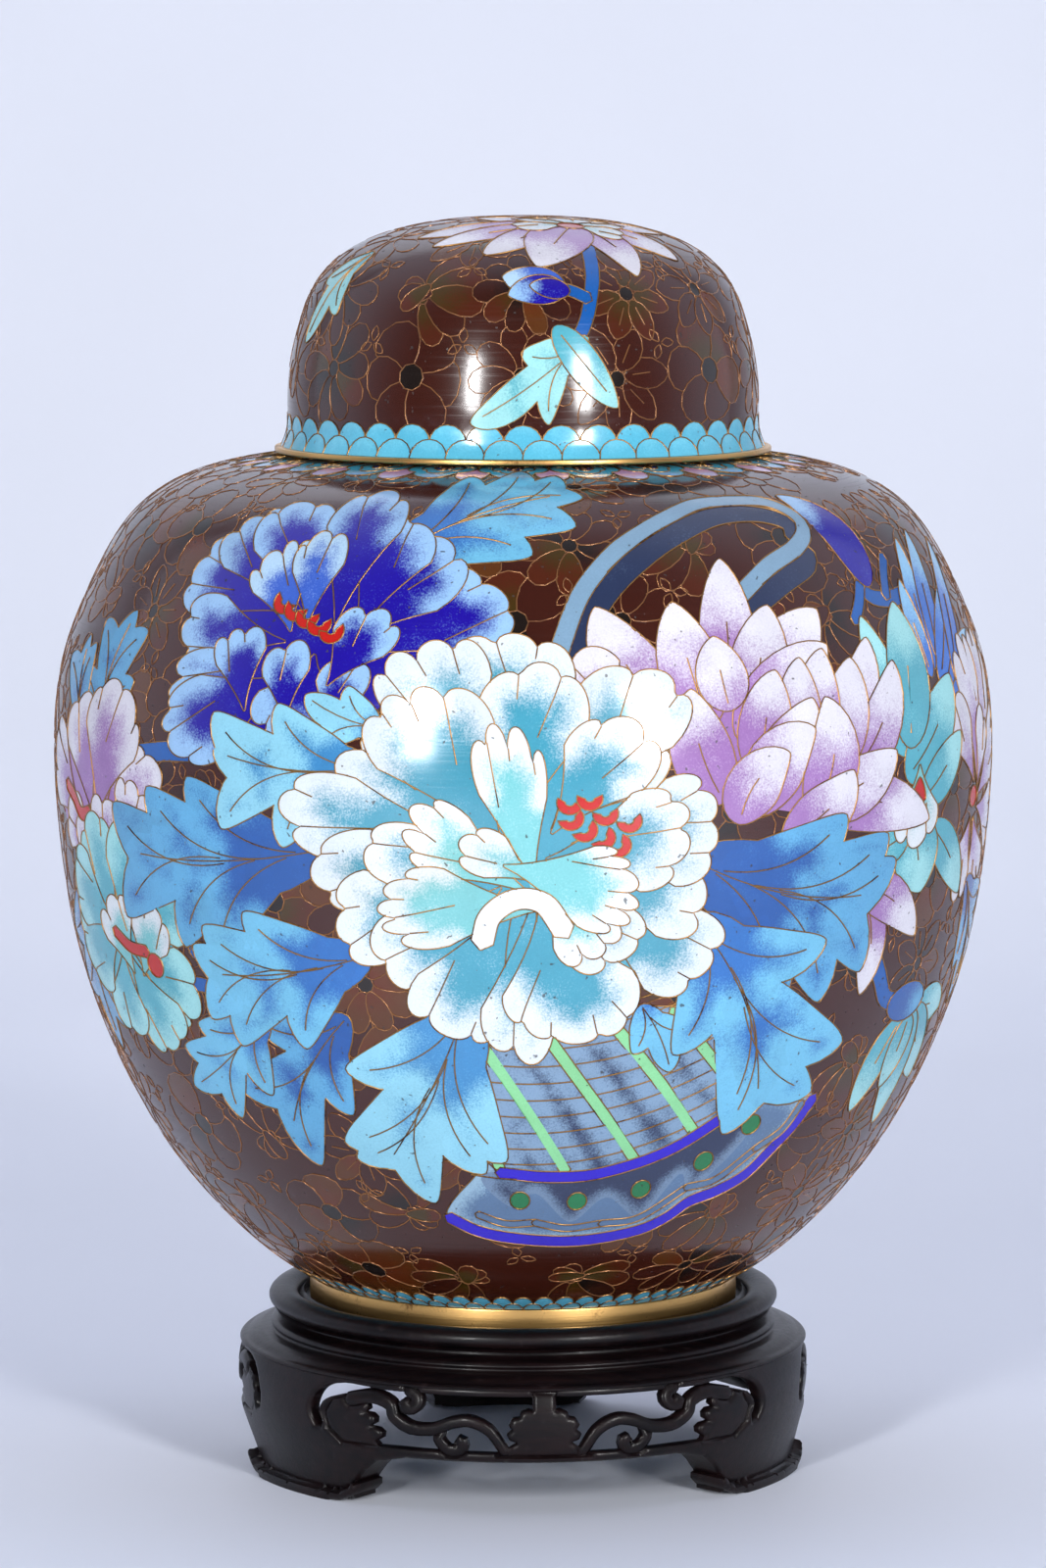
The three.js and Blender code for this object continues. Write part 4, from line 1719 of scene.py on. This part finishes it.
@dataclass
class EnamelSkin:
    """A turned enamel wall, cut along its picture and closed by plain turned surfaces."""

    name: str
    picture: Picture
    # radius and height of the rest of its outline: from the wall's foot to the axis and, where the wall is
    # open at its top, from there to the axis
    closings: tuple[Rows, ...]
    step: float = 2.6  # the size of its triangles

    def build(self, outside: Material, inside_finish: Material) -> Piece:
        """Make the wall.

        Args:
            outside: The finish of the picture.
            inside_finish: The finish of the closing surfaces.

        Returns:
            The object.
        """
        chart = self.picture.chart
        self.runs = self.picture.trace()
        points, faces, owner = self.picture.cut(self.runs, self.step)
        faces, owner = weld_seam(chart, points, faces, owner)
        angle, run = chart.wall(points)
        self.where = [chart.line.place(angle, run)]
        outward = chart.line.normal(angle, run)
        self.faces, self.normals = faces.tolist(), [outward[faces.ravel()]]
        self.count = len(points)
        loops = [loop for loop in boundary_loops(faces) if len(loop) > OPENING]
        loops.sort(key=lambda loop: run[loop].mean())
        for loop, rows, way in zip(loops, self.closings, (-1, 1)):
            self._close(loop, angle[loop], rows, way, run[loop])
        mesh = smooth_mesh(self.name, np.vstack(self.where), self.faces)
        self._paint(mesh, points, faces, owner)
        closing = np.arange(len(self.faces)) >= len(faces)
        mesh.polygons.foreach_set("material_index", closing.astype(np.int32))
        mesh.normals_split_custom_set(np.vstack(self.normals).tolist())
        return make_object(self.name, mesh, (outside, inside_finish))

    def _close(self, loop: list[int], angle: Array, rows: Rows, way: int, run: Array) -> None:
        """Carry the surface on from an open edge to the axis.

        Args:
            loop: The open edge's vertices.
            angle: Their angles.
            rows: Radius and height of the outline from there, ending on the axis.
            way: 1 where it carries the wall's run on, -1 where it leads back from the wall's foot.
            run: The vertices' runs; not used.
        """
        line = self.picture.chart.line
        start = line.points[0] if way < 0 else line.points[-1]
        stations = np.vstack([start, np.asarray(rows, float)])
        facing = -way * beside(unit(np.diff(stations, axis=0)))
        around = compass(angle)
        before = np.array(loop)
        after = np.roll(before, -1)
        for k, (radius, height) in enumerate(stations[1:]):
            pairs = []
            for other in (k - 1, k + 1):
                soft = 0 <= other < len(facing) and facing[k] @ facing[other] > SOFT_CORNER
                out, up = facing[k] + (facing[other] if soft else 0)
                pairs.append(unit(np.column_stack([around * out, np.full(len(loop), up)])))
            nxt = [np.roll(p, -1, axis=0) for p in pairs]
            if radius > 0:
                ring_ids = np.arange(len(loop)) + self.count
                self.where.append(np.column_stack([around * radius, np.full(len(loop), height)]) * MM)
                self.count += len(loop)
                following = np.roll(ring_ids, -1)
                self.faces += np.stack([after, before, ring_ids, following], 1).tolist()
                self.normals.append(np.stack([nxt[0], pairs[0], pairs[1], nxt[1]], 1).reshape(-1, 3))
                before, after = ring_ids, following
            else:
                self.where.append(np.array([[0, 0, height]]) * MM)
                pole = np.full(len(loop), self.count)
                self.count += 1
                self.faces += np.stack([after, before, pole], 1).tolist()
                level = np.tile([0, 0, np.sign(facing[k][1])], (len(loop), 1))
                self.normals.append(np.stack([nxt[0], pairs[0], level], 1).reshape(-1, 3))

    def _paint(self, mesh: Mesh, points: Array, faces: Array, owner: Array) -> None:
        """Give every triangle its cell's colours, and every corner its share of the light one.

        Args:
            mesh: The wall's mesh.
            points: The chart's points.
            faces: The triangles that carry the picture.
            owner: The cell of each.
        """
        cells = self.picture.cells
        total = len(mesh.polygons)
        glazes = list(Glaze)
        palette = np.array([[(*colour(*shade), 1.0) for shade in glaze.value] for glaze in glazes])
        kind = np.array([glazes.index(c.glaze) for c in cells] + [glazes.index(Glaze.GROUND)])
        tones = np.array([c.tone for c in cells] + [0.0])
        chosen = np.full(total, glazes.index(Glaze.GROUND))
        chosen[: len(faces)] = kind[owner]
        tone = np.zeros(total)
        tone[: len(faces)] = tones[owner]
        fade = np.zeros(len(mesh.loops))
        corners = points[faces]
        order = np.argsort(owner, kind="stable")
        starts = np.searchsorted(owner[order], np.arange(len(cells) + 1))
        for i, cell in enumerate(cells):
            mine = order[starts[i] : starts[i + 1]]
            if not len(mine) or not len(cell.bright):
                continue
            spots = corners[mine].reshape(-1, 1, 2)
            away = np.linalg.norm(spots - cell.bright[None], axis=2).min(axis=1)
            fade[(mine[:, None] * 3 + np.arange(3)).ravel()] = np.clip(1 - away / cell.reach, 0, 1)
        for name, kind_of, domain, field, data in (
                ("deep", "FLOAT_COLOR", "FACE", "color", palette[chosen, 0]),
                ("light", "FLOAT_COLOR", "FACE", "color", palette[chosen, 1]),
                ("tone", "FLOAT", "FACE", "value", tone), ("fade", "FLOAT", "CORNER", "value", fade)):
            layer = mesh.attributes.new(name, kind_of, domain)
            layer.data.foreach_set(field, data.astype(np.float32).ravel())


class WireTree(Nodes):
    """The tree that lays a flat wire along every line of a mesh, square to the wall it lies on."""

    def __init__(self) -> None:
        """Build the tree."""
        super().__init__(bpy.data.node_groups.new("lay_wires", "GeometryNodeTree"))
        face = self.tree.interface
        self.keys = {}
        face.new_socket("Geometry", in_out="INPUT", socket_type="NodeSocketGeometry")
        kinds = {"Width": "Float", "Height": "Float", "Sink": "Float", "Material": "Material"}
        for name, kind in kinds.items():
            made = face.new_socket(name, in_out="INPUT", socket_type="NodeSocket" + kind)
            self.keys[name] = made.identifier
        face.new_socket("Geometry", in_out="OUTPUT", socket_type="NodeSocketGeometry")
        given = self.add("NodeGroupInput").outputs
        kind, settings = "GeometryNodeInputNamedAttribute", {"data_type": "FLOAT_VECTOR"}
        outward = self.add(kind, settings, {"Name": "outward"}).outputs[0]
        lines = self.add("GeometryNodeMeshToCurve", {}, {"Mesh": given["Geometry"]}).outputs[0]
        values = {"Curve": lines, "Normal": outward}
        upright = self.add("GeometryNodeSetCurveNormal", {"mode": "FREE"}, values).outputs[0]
        values = {name: given["Width"] for name in ("Bottom Width", "Top Width")}
        values |= {"Height": given["Height"], "Offset": 0.0}
        kind = "GeometryNodeCurvePrimitiveQuadrilateral"
        section = self.add(kind, {"mode": "TRAPEZOID"}, values).outputs[0]
        shift = self.add("ShaderNodeCombineXYZ", {}, {"Y": given["Sink"]}).outputs[0]
        sunk = self.add("GeometryNodeTransform", {}, {"Geometry": section, "Translation": shift}).outputs[0]
        values = {"Curve": upright, "Profile Curve": sunk, "Fill Caps": True}
        strips = self.add("GeometryNodeCurveToMesh", {}, values).outputs[0]
        real = self.add("GeometryNodeRealizeInstances", {}, {"Geometry": strips}).outputs[0]
        values = {"Geometry": real, "Material": given["Material"]}
        done = self.add("GeometryNodeSetMaterial", {}, values).outputs[0]
        self.add("NodeGroupOutput", {}, {"Geometry": done})


@dataclass
class Wires:
    """The bent wire strips of one layer of a picture."""

    name: str
    chart: BeltChart | CapChart
    runs: list[tuple[Array, str]]  # the runs of wire, from trace
    layer: str
    width: float  # the strip's width in millimetres
    height: float = 0.3  # its depth into the enamel
    proud: float = 0.012  # how far it stands out of the enamel

    def build(self, tree: WireTree, metal: Material) -> Piece:
        """Lay the wires.

        Args:
            tree: The tree that makes strips of lines.
            metal: Their finish.

        Returns:
            The object.
        """
        places, normals, edges, count = [], [], [], 0
        for run, layer in self.runs:
            if layer != self.layer:
                continue
            angle, height = self.chart.wall(run)
            places.append(self.chart.line.place(angle, height))
            normals.append(self.chart.line.normal(angle, height))
            edges += [(count + k, count + k + 1) for k in range(len(run) - 1)]
            count += len(run)
        lines = bpy.data.meshes.new(self.name + "_lines")
        lines.from_pydata(np.vstack(places).tolist(), edges, [])
        outward = lines.attributes.new("outward", "FLOAT_VECTOR", "POINT")
        outward.data.foreach_set("vector", np.vstack(normals).astype(np.float32).ravel())
        made = make_object(self.name, lines, ())
        modifier = made.modifiers.new("wires", "NODES")
        modifier.node_group = tree.tree
        values = {
            "Width": self.width * MM, "Height": self.height * MM, "Sink": (self.proud - self.height / 2) * MM,
            "Material": metal}
        for name, value in values.items():
            modifier[tree.keys[name]] = value
        bpy.context.view_layer.update()
        mesh = bpy.data.meshes.new_from_object(made.evaluated_get(bpy.context.evaluated_depsgraph_get()))
        made.modifiers.remove(modifier)
        made.data = mesh
        mesh.name = self.name
        return made


@dataclass(frozen=True)
class Turning:
    """A closed outline turned round the axis."""

    name: str
    outline: Rows  # radius and height of each corner, so that the solid lies to the left on the way round
    count: int = 240  # how many flats it is turned in
    crease: float = 32.0  # the angle, in degrees, over which an edge stays sharp

    def mesh(self) -> Mesh:
        """Make the mesh.

        Returns:
            The mesh.
        """
        rows = np.asarray(self.outline, float)
        turn = np.linspace(0, TURN, self.count, endpoint=False)
        around = compass(turn)
        spots = np.concatenate([np.column_stack([around * r, np.full(self.count, z)]) for r, z in rows]) * MM
        total = len(rows)
        grid = np.arange(total * self.count).reshape(total, self.count)
        beside, above = np.roll(grid, -1, 1), np.roll(grid, -1, 0)
        faces = np.stack([grid, beside, np.roll(beside, -1, 0), above], -1).reshape(-1, 4)
        mesh = smooth_mesh(self.name, spots, faces.tolist())
        mesh.set_sharp_from_angle(angle=math.radians(self.crease))
        return mesh

    def build(self, material: Material) -> Piece:
        """Make the object in one finish."""
        return make_object(self.name, self.mesh(), (material,))


def softened(corners: Rows, radius: float, count: int = 4) -> Rows:
    """Round every corner of a closed outline.

    Args:
        corners: Its corners.
        radius: How far from each corner the round starts, less on short sides.
        count: How many steps each round has.

    Returns:
        The outline with its corners rounded.
    """
    spots = np.asarray(corners, float)
    made = []
    for before, at, after in zip(np.roll(spots, 1, 0), spots, np.roll(spots, -1, 0)):
        near, far = before - at, after - at
        reach = min(radius, np.linalg.norm(near) * 0.45, np.linalg.norm(far) * 0.45)
        start, end = at + near / np.linalg.norm(near) * reach, at + far / np.linalg.norm(far) * reach
        for share in np.linspace(0, 1, count + 1):
            made.append(tuple((1 - share) ** 2 * start + 2 * share * (1 - share) * at + share**2 * end))
    return made


class Carving(enum.Enum):
    """The kinds of surface on the stand's apron, with how far each stands out in millimetres."""

    SHEET = 0.0
    VOID = None
    VINE = -0.5
    LEAF = -0.7
    PALMETTE = -0.6
    PAD = 2.9


@dataclass
class StandApron:
    """The stand's pierced apron, its three legs and their curled pads, carved from one bulging ring.

    Angles are degrees from the middle of an apron, heights are millimetres.
    """

    # radius and height of the bulging face
    face: Rows = ((76.4, 0.0), (76.8, 4), (79.3, 14.8), (80.6, 21), (81, 27), (80.5, 31.5), (79.2, 35.6))
    inside_rows: Rows = ((0, 67), (12.8, 67), (16.8, 77), (36, 77))  # height and radius of the back
    turn: float = 4.2  # how far the first apron is turned from the front
    count: int = 3
    step: float = 0.62  # the size of the triangles
    radius: float = 81.0  # the radius that its chart is unrolled at
    least: float = 2.0  # how thick it is at least
    crease: float = 48.0  # the angle, in degrees, over which an edge stays sharp
    worn: Pair = (1.15, 0.75)  # how far from the edges they are rounded off, and how deep
    # half width, low and high edge and corner of the pierced window
    window: tuple[float, float, float, float] = (37, 17.6, 33.2, 2.5)
    # the slot that frames the leg
    groove: tuple[Pair, ...] = ((36, 32), (42.5, 32), (47.6, 29.6), (49.7, 25), (48.6, 21.4))
    # the scrolling vine, from the middle to the leg
    vine: tuple[Pair, ...] = (
        (7.6, 17.4), (10.6, 23.4), (14.4, 26.1), (18.2, 25.6), (22.4, 23.4), (27, 23.4), (30.3, 26),
        (31.4, 29.4), (35.5, 31), (41, 29.4))
    # the curl at the window's top
    upper_curl: tuple[Pair, ...] = ((27.6, 34), (25.4, 31.4), (26.6, 29.2), (28.4, 29.6))
    # the curl at its foot
    lower_curl: tuple[Pair, ...] = ((20.4, 24.6), (21, 20.8), (19, 17.8), (16.4, 18.6), (16.6, 20.8))
    # the outline of the leaf on the leg's side
    leaf: tuple[Pair, ...] = (
        (38, 31), (41, 30.6), (45, 29), (47.2, 25), (46.4, 20.6), (43, 17), (34, 17), (34.9, 18.6),
        (33.3, 19.8), (33.1, 21.3), (34.2, 22.3), (36.2, 22.6), (34.9, 23.6), (34.8, 25.2), (35.8, 26.2),
        (37.4, 26.3), (36.4, 27.3), (36.6, 28.6), (38.4, 29.4))
    # the outline of half the palmette in the middle
    palmette: tuple[Pair, ...] = (
        (9.6, 16.6), (7.4, 18.6), (5.4, 20.4), (6.9, 21.2), (7.4, 22.8), (6.4, 24.0), (7.0, 25.4),
        (6.2, 27.2), (4.9, 27.5), (4.6, 28.9), (3.1, 29.7), (2.3, 29.4), (2.3, 34.2))
    # the outline of half the space under the apron
    arch: tuple[Pair, ...] = ((41.5, -2), (41.5, 3), (40.2, 6.4), (38, 9.6), (35, 12.8), (28, 14.8))
    # the middle line of half a foot's pad, from the middle of a leg
    pad: tuple[Pair, ...] = ((12, 1.2), (17.5, 2.6), (20, 5))

    def _carve(self) -> None:
        """Lay the apron's shapes in painter's order on its chart."""
        line = WallLine(self.face)
        self.chart = BeltChart(line, self.radius)
        self.art = Picture(self.chart, 5)
        half, top = self.chart.half, line.length
        self._lay([(-half, 0.9), (half, 0.9), (half, top), (-half, top)], Carving.SHEET, None)
        hw, low, high, corner = self.window
        bend = corner / math.radians(1) / self.radius
        side = []
        for t in np.radians(np.linspace(-90, 90, 13)):
            height = low + corner if t < 0 else high - corner
            side.append((hw - bend + bend * math.cos(t), height + corner * math.sin(t)))
        for k in range(self.count):
            middle = self.turn + 360 * k / self.count
            self._lay(mirrored(self.arch), Carving.VOID, middle)
            self._lay(mirrored(side), Carving.VOID, middle)
            for sign in (1, -1):
                self._lay(self._band(self.groove, 3.0, 3.4, sign), Carving.VOID, middle)
            self._lay(mirrored(self.palmette), Carving.PALMETTE, middle)
            for sign in (1, -1):
                self._lay([(sign * a, z) for a, z in self.leaf], Carving.LEAF, middle)
                self._lay(self._band(self.upper_curl, 3.4, 4.6, sign), Carving.VINE, middle)
                self._lay(self._band(self.lower_curl, 3.0, 3.8, sign), Carving.VINE, middle)
                self._lay(self._band(self.vine, 2.9, 4.0, sign), Carving.VINE, middle)
            path = [(-a, z) for a, z in reversed(self.pad)] + list(self.pad)
            foot = [(a, -1.0 if z < 0.05 else z) for a, z in self._band(path, 2.4, 2.4, 1)]
            self._lay(foot, Carving.PAD, middle + 60)

    def _band(self, path: Rows, width: float, end: float, sign: int) -> list[Pair]:
        """Outline a carved band, with its path in degrees.

        Args:
            path: Its middle line.
            width: Its width at the start, in millimetres.
            end: Its width at the end.
            sign: -1 for the mirrored half.

        Returns:
            Its outline in degrees and heights.
        """
        scale = math.radians(self.radius)
        made = Band(tuple((sign * a * scale, z) for a, z in path), width, end, 0.8).outline()
        return [(x / scale, z) for x, z in made]

    def _lay(self, shape: Rows, kind: Carving, middle: float | None) -> None:
        """Lay one shape on the chart.

        Args:
            shape: Its outline in degrees and heights, or in chart places where it has no middle.
            kind: Its kind of surface.
            middle: The angle, in degrees, that it is drawn from.
        """
        spots = np.asarray(shape, float)
        if middle is not None:
            angle = (middle + 180) % 360 - 180
            run = np.interp(spots[:, 1], self.chart.line.points[:, 1], self.chart.line.run)
            run = np.where(spots[:, 1] < 0, spots[:, 1], run)
            spots = np.stack([np.radians(spots[:, 0] + angle) * self.radius, run], 1)
        self.art.cell(split_up(np.vstack([spots, spots[:1]]), 0.7, False), kind)

    def mesh(self) -> Mesh:
        """Make the carved ring as one closed mesh.

        Returns:
            The mesh.
        """
        self._carve()
        runs = self.art.trace()
        points, faces, owner = self.art.cut(runs, self.step)
        levels = [math.nan if c.glaze is Carving.VOID else c.glaze.value for c in self.art.cells]
        level = np.array(levels + [math.nan])[owner]
        solid = ~np.isnan(level)
        faces, level = weld_seam(self.chart, points, faces[solid], level[solid])
        used, faces = np.unique(faces, return_inverse=True)
        faces = faces.reshape(-1, 3)
        points = points[used]
        lift = self._relief(points, faces, level, runs)
        angle, run = self.chart.wall(points)
        line = self.chart.line
        radius, height = (np.interp(run, line.run, line.points[:, k]) for k in (0, 1))
        heights, radii = zip(*self.inside_rows)
        back = np.minimum(np.interp(height, heights, radii), radius + lift - self.least)
        around = compass(angle)
        spots = [np.column_stack([around * r[:, None], height]) * MM for r in (radius + lift, back)]
        total = len(points)
        rim = open_edges(faces)
        walls = np.stack([rim[:, 1], rim[:, 0], rim[:, 0] + total, rim[:, 1] + total], 1)
        every = faces.tolist() + (faces[:, ::-1] + total).tolist() + walls.tolist()
        mesh = smooth_mesh("stand_apron", np.vstack(spots), every)
        mesh.set_sharp_from_angle(angle=math.radians(self.crease))
        return mesh

    def _relief(self, points: Array, faces: Array, level: Array, runs: list[Any]) -> Array:
        """Work out how far each point of the face stands out.

        Args:
            points: The points on the chart.
            faces: The triangles.
            level: How far each stands out.
            runs: The outlines that show.

        Returns:
            The lift of each point, in millimetres.
        """
        total, hits = np.zeros(len(points)), np.zeros(len(points))
        for k in range(3):
            np.add.at(total, faces[:, k], level)
            np.add.at(hits, faces[:, k], 1)
        lift = total / hits
        spots = np.vstack([split_up(run, 0.3, True) for run, _ in runs])
        tree = KDTree(len(spots))
        for i, (x, y) in enumerate(spots.tolist()):
            tree.insert((x, y, 0), i)
        tree.balance()
        away = np.array([tree.find((x, y, 0))[2] for x, y in points.tolist()])
        reach, depth = self.worn
        return lift - depth * np.clip(1 - away / reach, 0, 1) ** 2


@dataclass(frozen=True)
class Stand:
    """The hardwood stand: a fat turned ring over a board with mouldings, and the carved apron."""

    ring_radius: float = 67.6  # the middle of the ring's moulding
    ring_height: float = 46.9
    ring_half: Pair = (4.2, 2.9)  # half its width and half its height

    def ring(self, wood: Material) -> Piece:
        """Make the ring that holds the jar's foot.

        Args:
            wood: Its finish.

        Returns:
            The ring.
        """
        moulding = ray(np.linspace(-0.42 * math.pi, math.pi, 16)) * self.ring_half
        moulding += (self.ring_radius, self.ring_height)
        outline = [(50, 43.2), (67.5, 43.2), (70, 43.5), *moulding, (62, 48.4), (62, 45.95), (50, 45.95)]
        return Turning("stand_ring", outline, 200).build(wood)

    def base(self, wood: Material) -> list[Piece]:
        """Make the board and the apron.

        Args:
            wood: Their finish.

        Returns:
            The two objects.
        """
        corners = [
            (60, 37), (72.6, 34.6), (79.2, 34.4), (80.2, 35.1), (79.4, 35.9), (77.9, 36.2), (76.4, 37.2),
            (74.2, 38.1), (71.2, 38.3), (70.8, 38.9), (71.4, 39.8), (70.4, 40.8), (67.6, 41.3), (66.6, 41.9),
            (66.5, 43.15), (60, 43.15)]
        board = Turning("stand_board", softened(corners, 0.5, 3), 200).build(wood)
        apron = make_object("stand_apron", StandApron().mesh(), (wood,))
        return [board, apron]


JAR_WALL = (
    (60.2, 53.6), (68.4, 58.8), (80.4, 68.7), (98, 88.9), (114.8, 119.1), (125, 149.2), (129.7, 179.2),
    (131.0, 204), (128.2, 229), (120.6, 248.8), (106.5, 270.6), (94.2, 278.4), (79, 282.6), (60.55, 284.6))
LID_WALL = (
    (67.4, 286.8), (66, 290.4), (65.6, 297.6), (64.6, 310.7), (62.6, 319.4), (57.4, 332.4), (48.5, 341.1),
    (38.7, 345.6), (20, 349.45), (0, 350.34))
WIRE_WIDTHS = {"ground": 0.32, "picture": 0.42}


def offset_inside(rows: Rows) -> list[Pair]:
    """Give the inner side of a wall.

    Args:
        rows: The wall's outer stations.

    Returns:
        The inner stations, in the same order.
    """
    line = WallLine(rows, rows[-1][0] == 0)
    picks = np.linspace(0, len(line.points) - 1, INSIDE_ROWS).astype(int)
    inner = line.points[picks] - line.outward[picks] * THICKNESS
    return [(max(float(r), 0.0), float(z)) for r, z in inner]


@dataclass(frozen=True)
class Studio:
    """The studio: a pale table and backdrop, two tall soft lights and the camera."""

    distance: float = 1.7864  # how far the camera is from the jar's axis, in metres
    height: float = 0.3942
    pitch: float = 6.474  # how far it looks down, in degrees
    lens: float = 147.1

    def table(self, paper: Material) -> Piece:
        """Make the table top that curves up into the backdrop.

        Args:
            paper: Its finish.

        Returns:
            The table.
        """
        turns = np.linspace(0.1, math.pi / 2, 12)
        bend = [(0.9 + 0.6 * math.sin(t), 0.6 - 0.6 * math.cos(t)) for t in turns]
        profile = [(-2.6, 0.0), (0.9, 0.0), *bend, (1.5, 2.6)]
        spots = [(x, y, z) for x in (-2.4, 2.4) for y, z in profile]
        count = len(profile)
        faces = [(k, k + count, k + count + 1, k + 1) for k in range(count - 1)]
        return make_object("studio_table", smooth_mesh("studio_table", spots, faces), (paper,))

    def light(self, name: str, stand: Pair, span: Pair, wide: float, target: Triple, power: float) -> None:
        """Hang one soft light.

        Args:
            name: Its name.
            stand: Where it stands: degrees to the right of the camera, and metres from the axis.
            span: The heights of its lower and upper edge.
            wide: Its width.
            target: What it points at.
            power: Its power in watts.
        """
        lamp = bpy.data.lights.new(name, "AREA")
        lamp.shape, lamp.size, lamp.size_y, lamp.energy = "RECTANGLE", wide, span[1] - span[0], power
        made = bpy.data.objects.new(name, lamp)
        angle = math.radians(stand[0])
        made.location = (stand[1] * math.sin(angle), -stand[1] * math.cos(angle), sum(span) / 2)
        made.rotation_euler = (Vector(target) - made.location).to_track_quat("-Z", "Y").to_euler()
        bpy.context.scene.collection.objects.link(made)

    def world(self) -> None:
        """Fill the room with pale light."""
        world = bpy.data.worlds.new("studio")
        world.use_nodes = True
        world.node_tree.nodes.clear()
        nodes = Nodes(world.node_tree)
        way = nodes.add("ShaderNodeTexCoord").outputs["Generated"]
        behind = Value(nodes, nodes.add("ShaderNodeSeparateXYZ", {}, {0: way}).outputs[1]).between(-0.6, 0.25)
        values = {"Color": colour(214, 220, 240), "Strength": 0.1 + 0.98 * behind}
        back = nodes.add("ShaderNodeBackground", {}, values)
        nodes.add("ShaderNodeOutputWorld", {}, {"Surface": back.outputs[0]})
        bpy.context.scene.world = world

    def camera(self) -> None:
        """Place the camera where the photograph was taken from."""
        data = bpy.data.cameras.new("camera")
        data.sensor_fit, data.sensor_width, data.sensor_height, data.lens = "VERTICAL", 24.0, 36.0, self.lens
        data.clip_end = 20
        made = bpy.data.objects.new("camera", data)
        made.location = (0, -self.distance, self.height)
        made.rotation_euler = (math.radians(90 - self.pitch), 0, 0)
        bpy.context.scene.collection.objects.link(made)
        bpy.context.scene.camera = made

    def build(self, paper: Material) -> None:
        """Set the whole studio up.

        Args:
            paper: The finish of the table.
        """
        self.table(paper)
        self.light("left_light", (-24, 1.7), (0.25, 0.95), 0.14, (0, 0, 0.2), 18)
        self.light("right_light", (29, 1.7), (0.25, 0.95), 0.2, (0, 0, 0.2), 21)
        self.light("backdrop_light", (180, 0.5), (1.8, 2.2), 2.4, (0, 1.5, 1.7), 27)
        bpy.context.scene.view_settings.view_transform = "Standard"
        self.world()
        self.camera()


def settle(piece: Piece, node: str) -> None:
    """Hang a piece under the root body, hide the part that it stands for, and log its triangle count.

    Args:
        piece: The piece.
        node: The node that it stands for.
    """
    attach(piece, "root")
    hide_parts(node)
    piece.data.calc_loop_triangles()
    LOG.info("%s: %d triangles", piece.name, len(piece.data.loop_triangles))


@dataclass(frozen=True)
class EnamelWork:
    """The finishes and the tree that enamel walls and their wires are made with."""

    outside: Material
    inside: Material
    metals: dict[str, Material]  # the finish of each layer of wires
    tree: WireTree

    def make(self, wall: EnamelSkin, prefix: str) -> None:
        """Make a wall and its wires.

        Args:
            wall: The wall, named like the part that it stands for.
            prefix: What the names of its wires start with.
        """
        settle(wall.build(self.outside, self.inside), wall.name)
        for layer, width in WIRE_WIDTHS.items():
            wires = Wires(prefix + layer, wall.picture.chart, wall.runs, layer, width)
            settle(wires.build(self.tree, self.metals[layer]), wall.name)


def main() -> None:
    """Build every piece in order."""
    logging.basicConfig(level=logging.INFO, format="%(name)s %(message)s")
    enamel, plain = EnamelFinish().build(), PlainEnamelFinish().build()
    wire = MetalFinish("wire", colour(168, 126, 74), colour(84, 56, 34), 0.3, 0.3, 0.004).build()
    brass = MetalFinish("gilt_brass", colour(214, 170, 104), colour(112, 78, 46), 0.24, 0.24).build()
    wood, paper = WoodFinish().build(), StudioFinish().build()
    shades = colour(142, 96, 58), colour(96, 58, 34)
    dark_wire = MetalFinish("ground_wire", *shades, 0.13, 0.3, 0.002, 0.5).build()
    work = EnamelWork(enamel, plain, {"ground": dark_wire, "picture": wire}, WireTree())

    under = ((57.4, 53.6), (40, 53.6), (0, 53.6))
    hollow = [(60.55 - THICKNESS, 284.6), *offset_inside(JAR_WALL)[-2:0:-1], (56, 56), (0, 56)]
    picture = JarPicture(Picture(BeltChart(WallLine(JAR_WALL), 120.0), 11)).draw()
    work.make(EnamelSkin("jar_shell", picture, (under, hollow)), "jar_wires_")

    hollow = [(65, 286.8), *offset_inside(LID_WALL)[1:-1], (0, 348.0)]
    picture = LidPicture(Picture(CapChart(WallLine(LID_WALL, True)), 23)).draw()
    work.make(EnamelSkin("lid_dome", picture, (hollow,)), "lid_wires_")

    for name, inner, outer, low, high, soft in (
            ("jar_neck", 58.1, 60.5, 284.65, 312, 0.5), ("jar_foot_ring", 57.4, 60.2, 46, 53.55, 0.6),
            ("lid_rim", 65, 69.2, 285.2, 286.75, 0.5)):
        corners = softened([(inner, low), (outer, low), (outer, high), (inner, high)], soft)
        settle(Turning(name, corners).build(brass), name)

    stand = Stand()
    settle(stand.ring(wood), "stand_ring")
    for piece in stand.base(wood):
        settle(piece, "stand_base")
    Studio().build(paper)


if __name__ == "__main__":
    main()
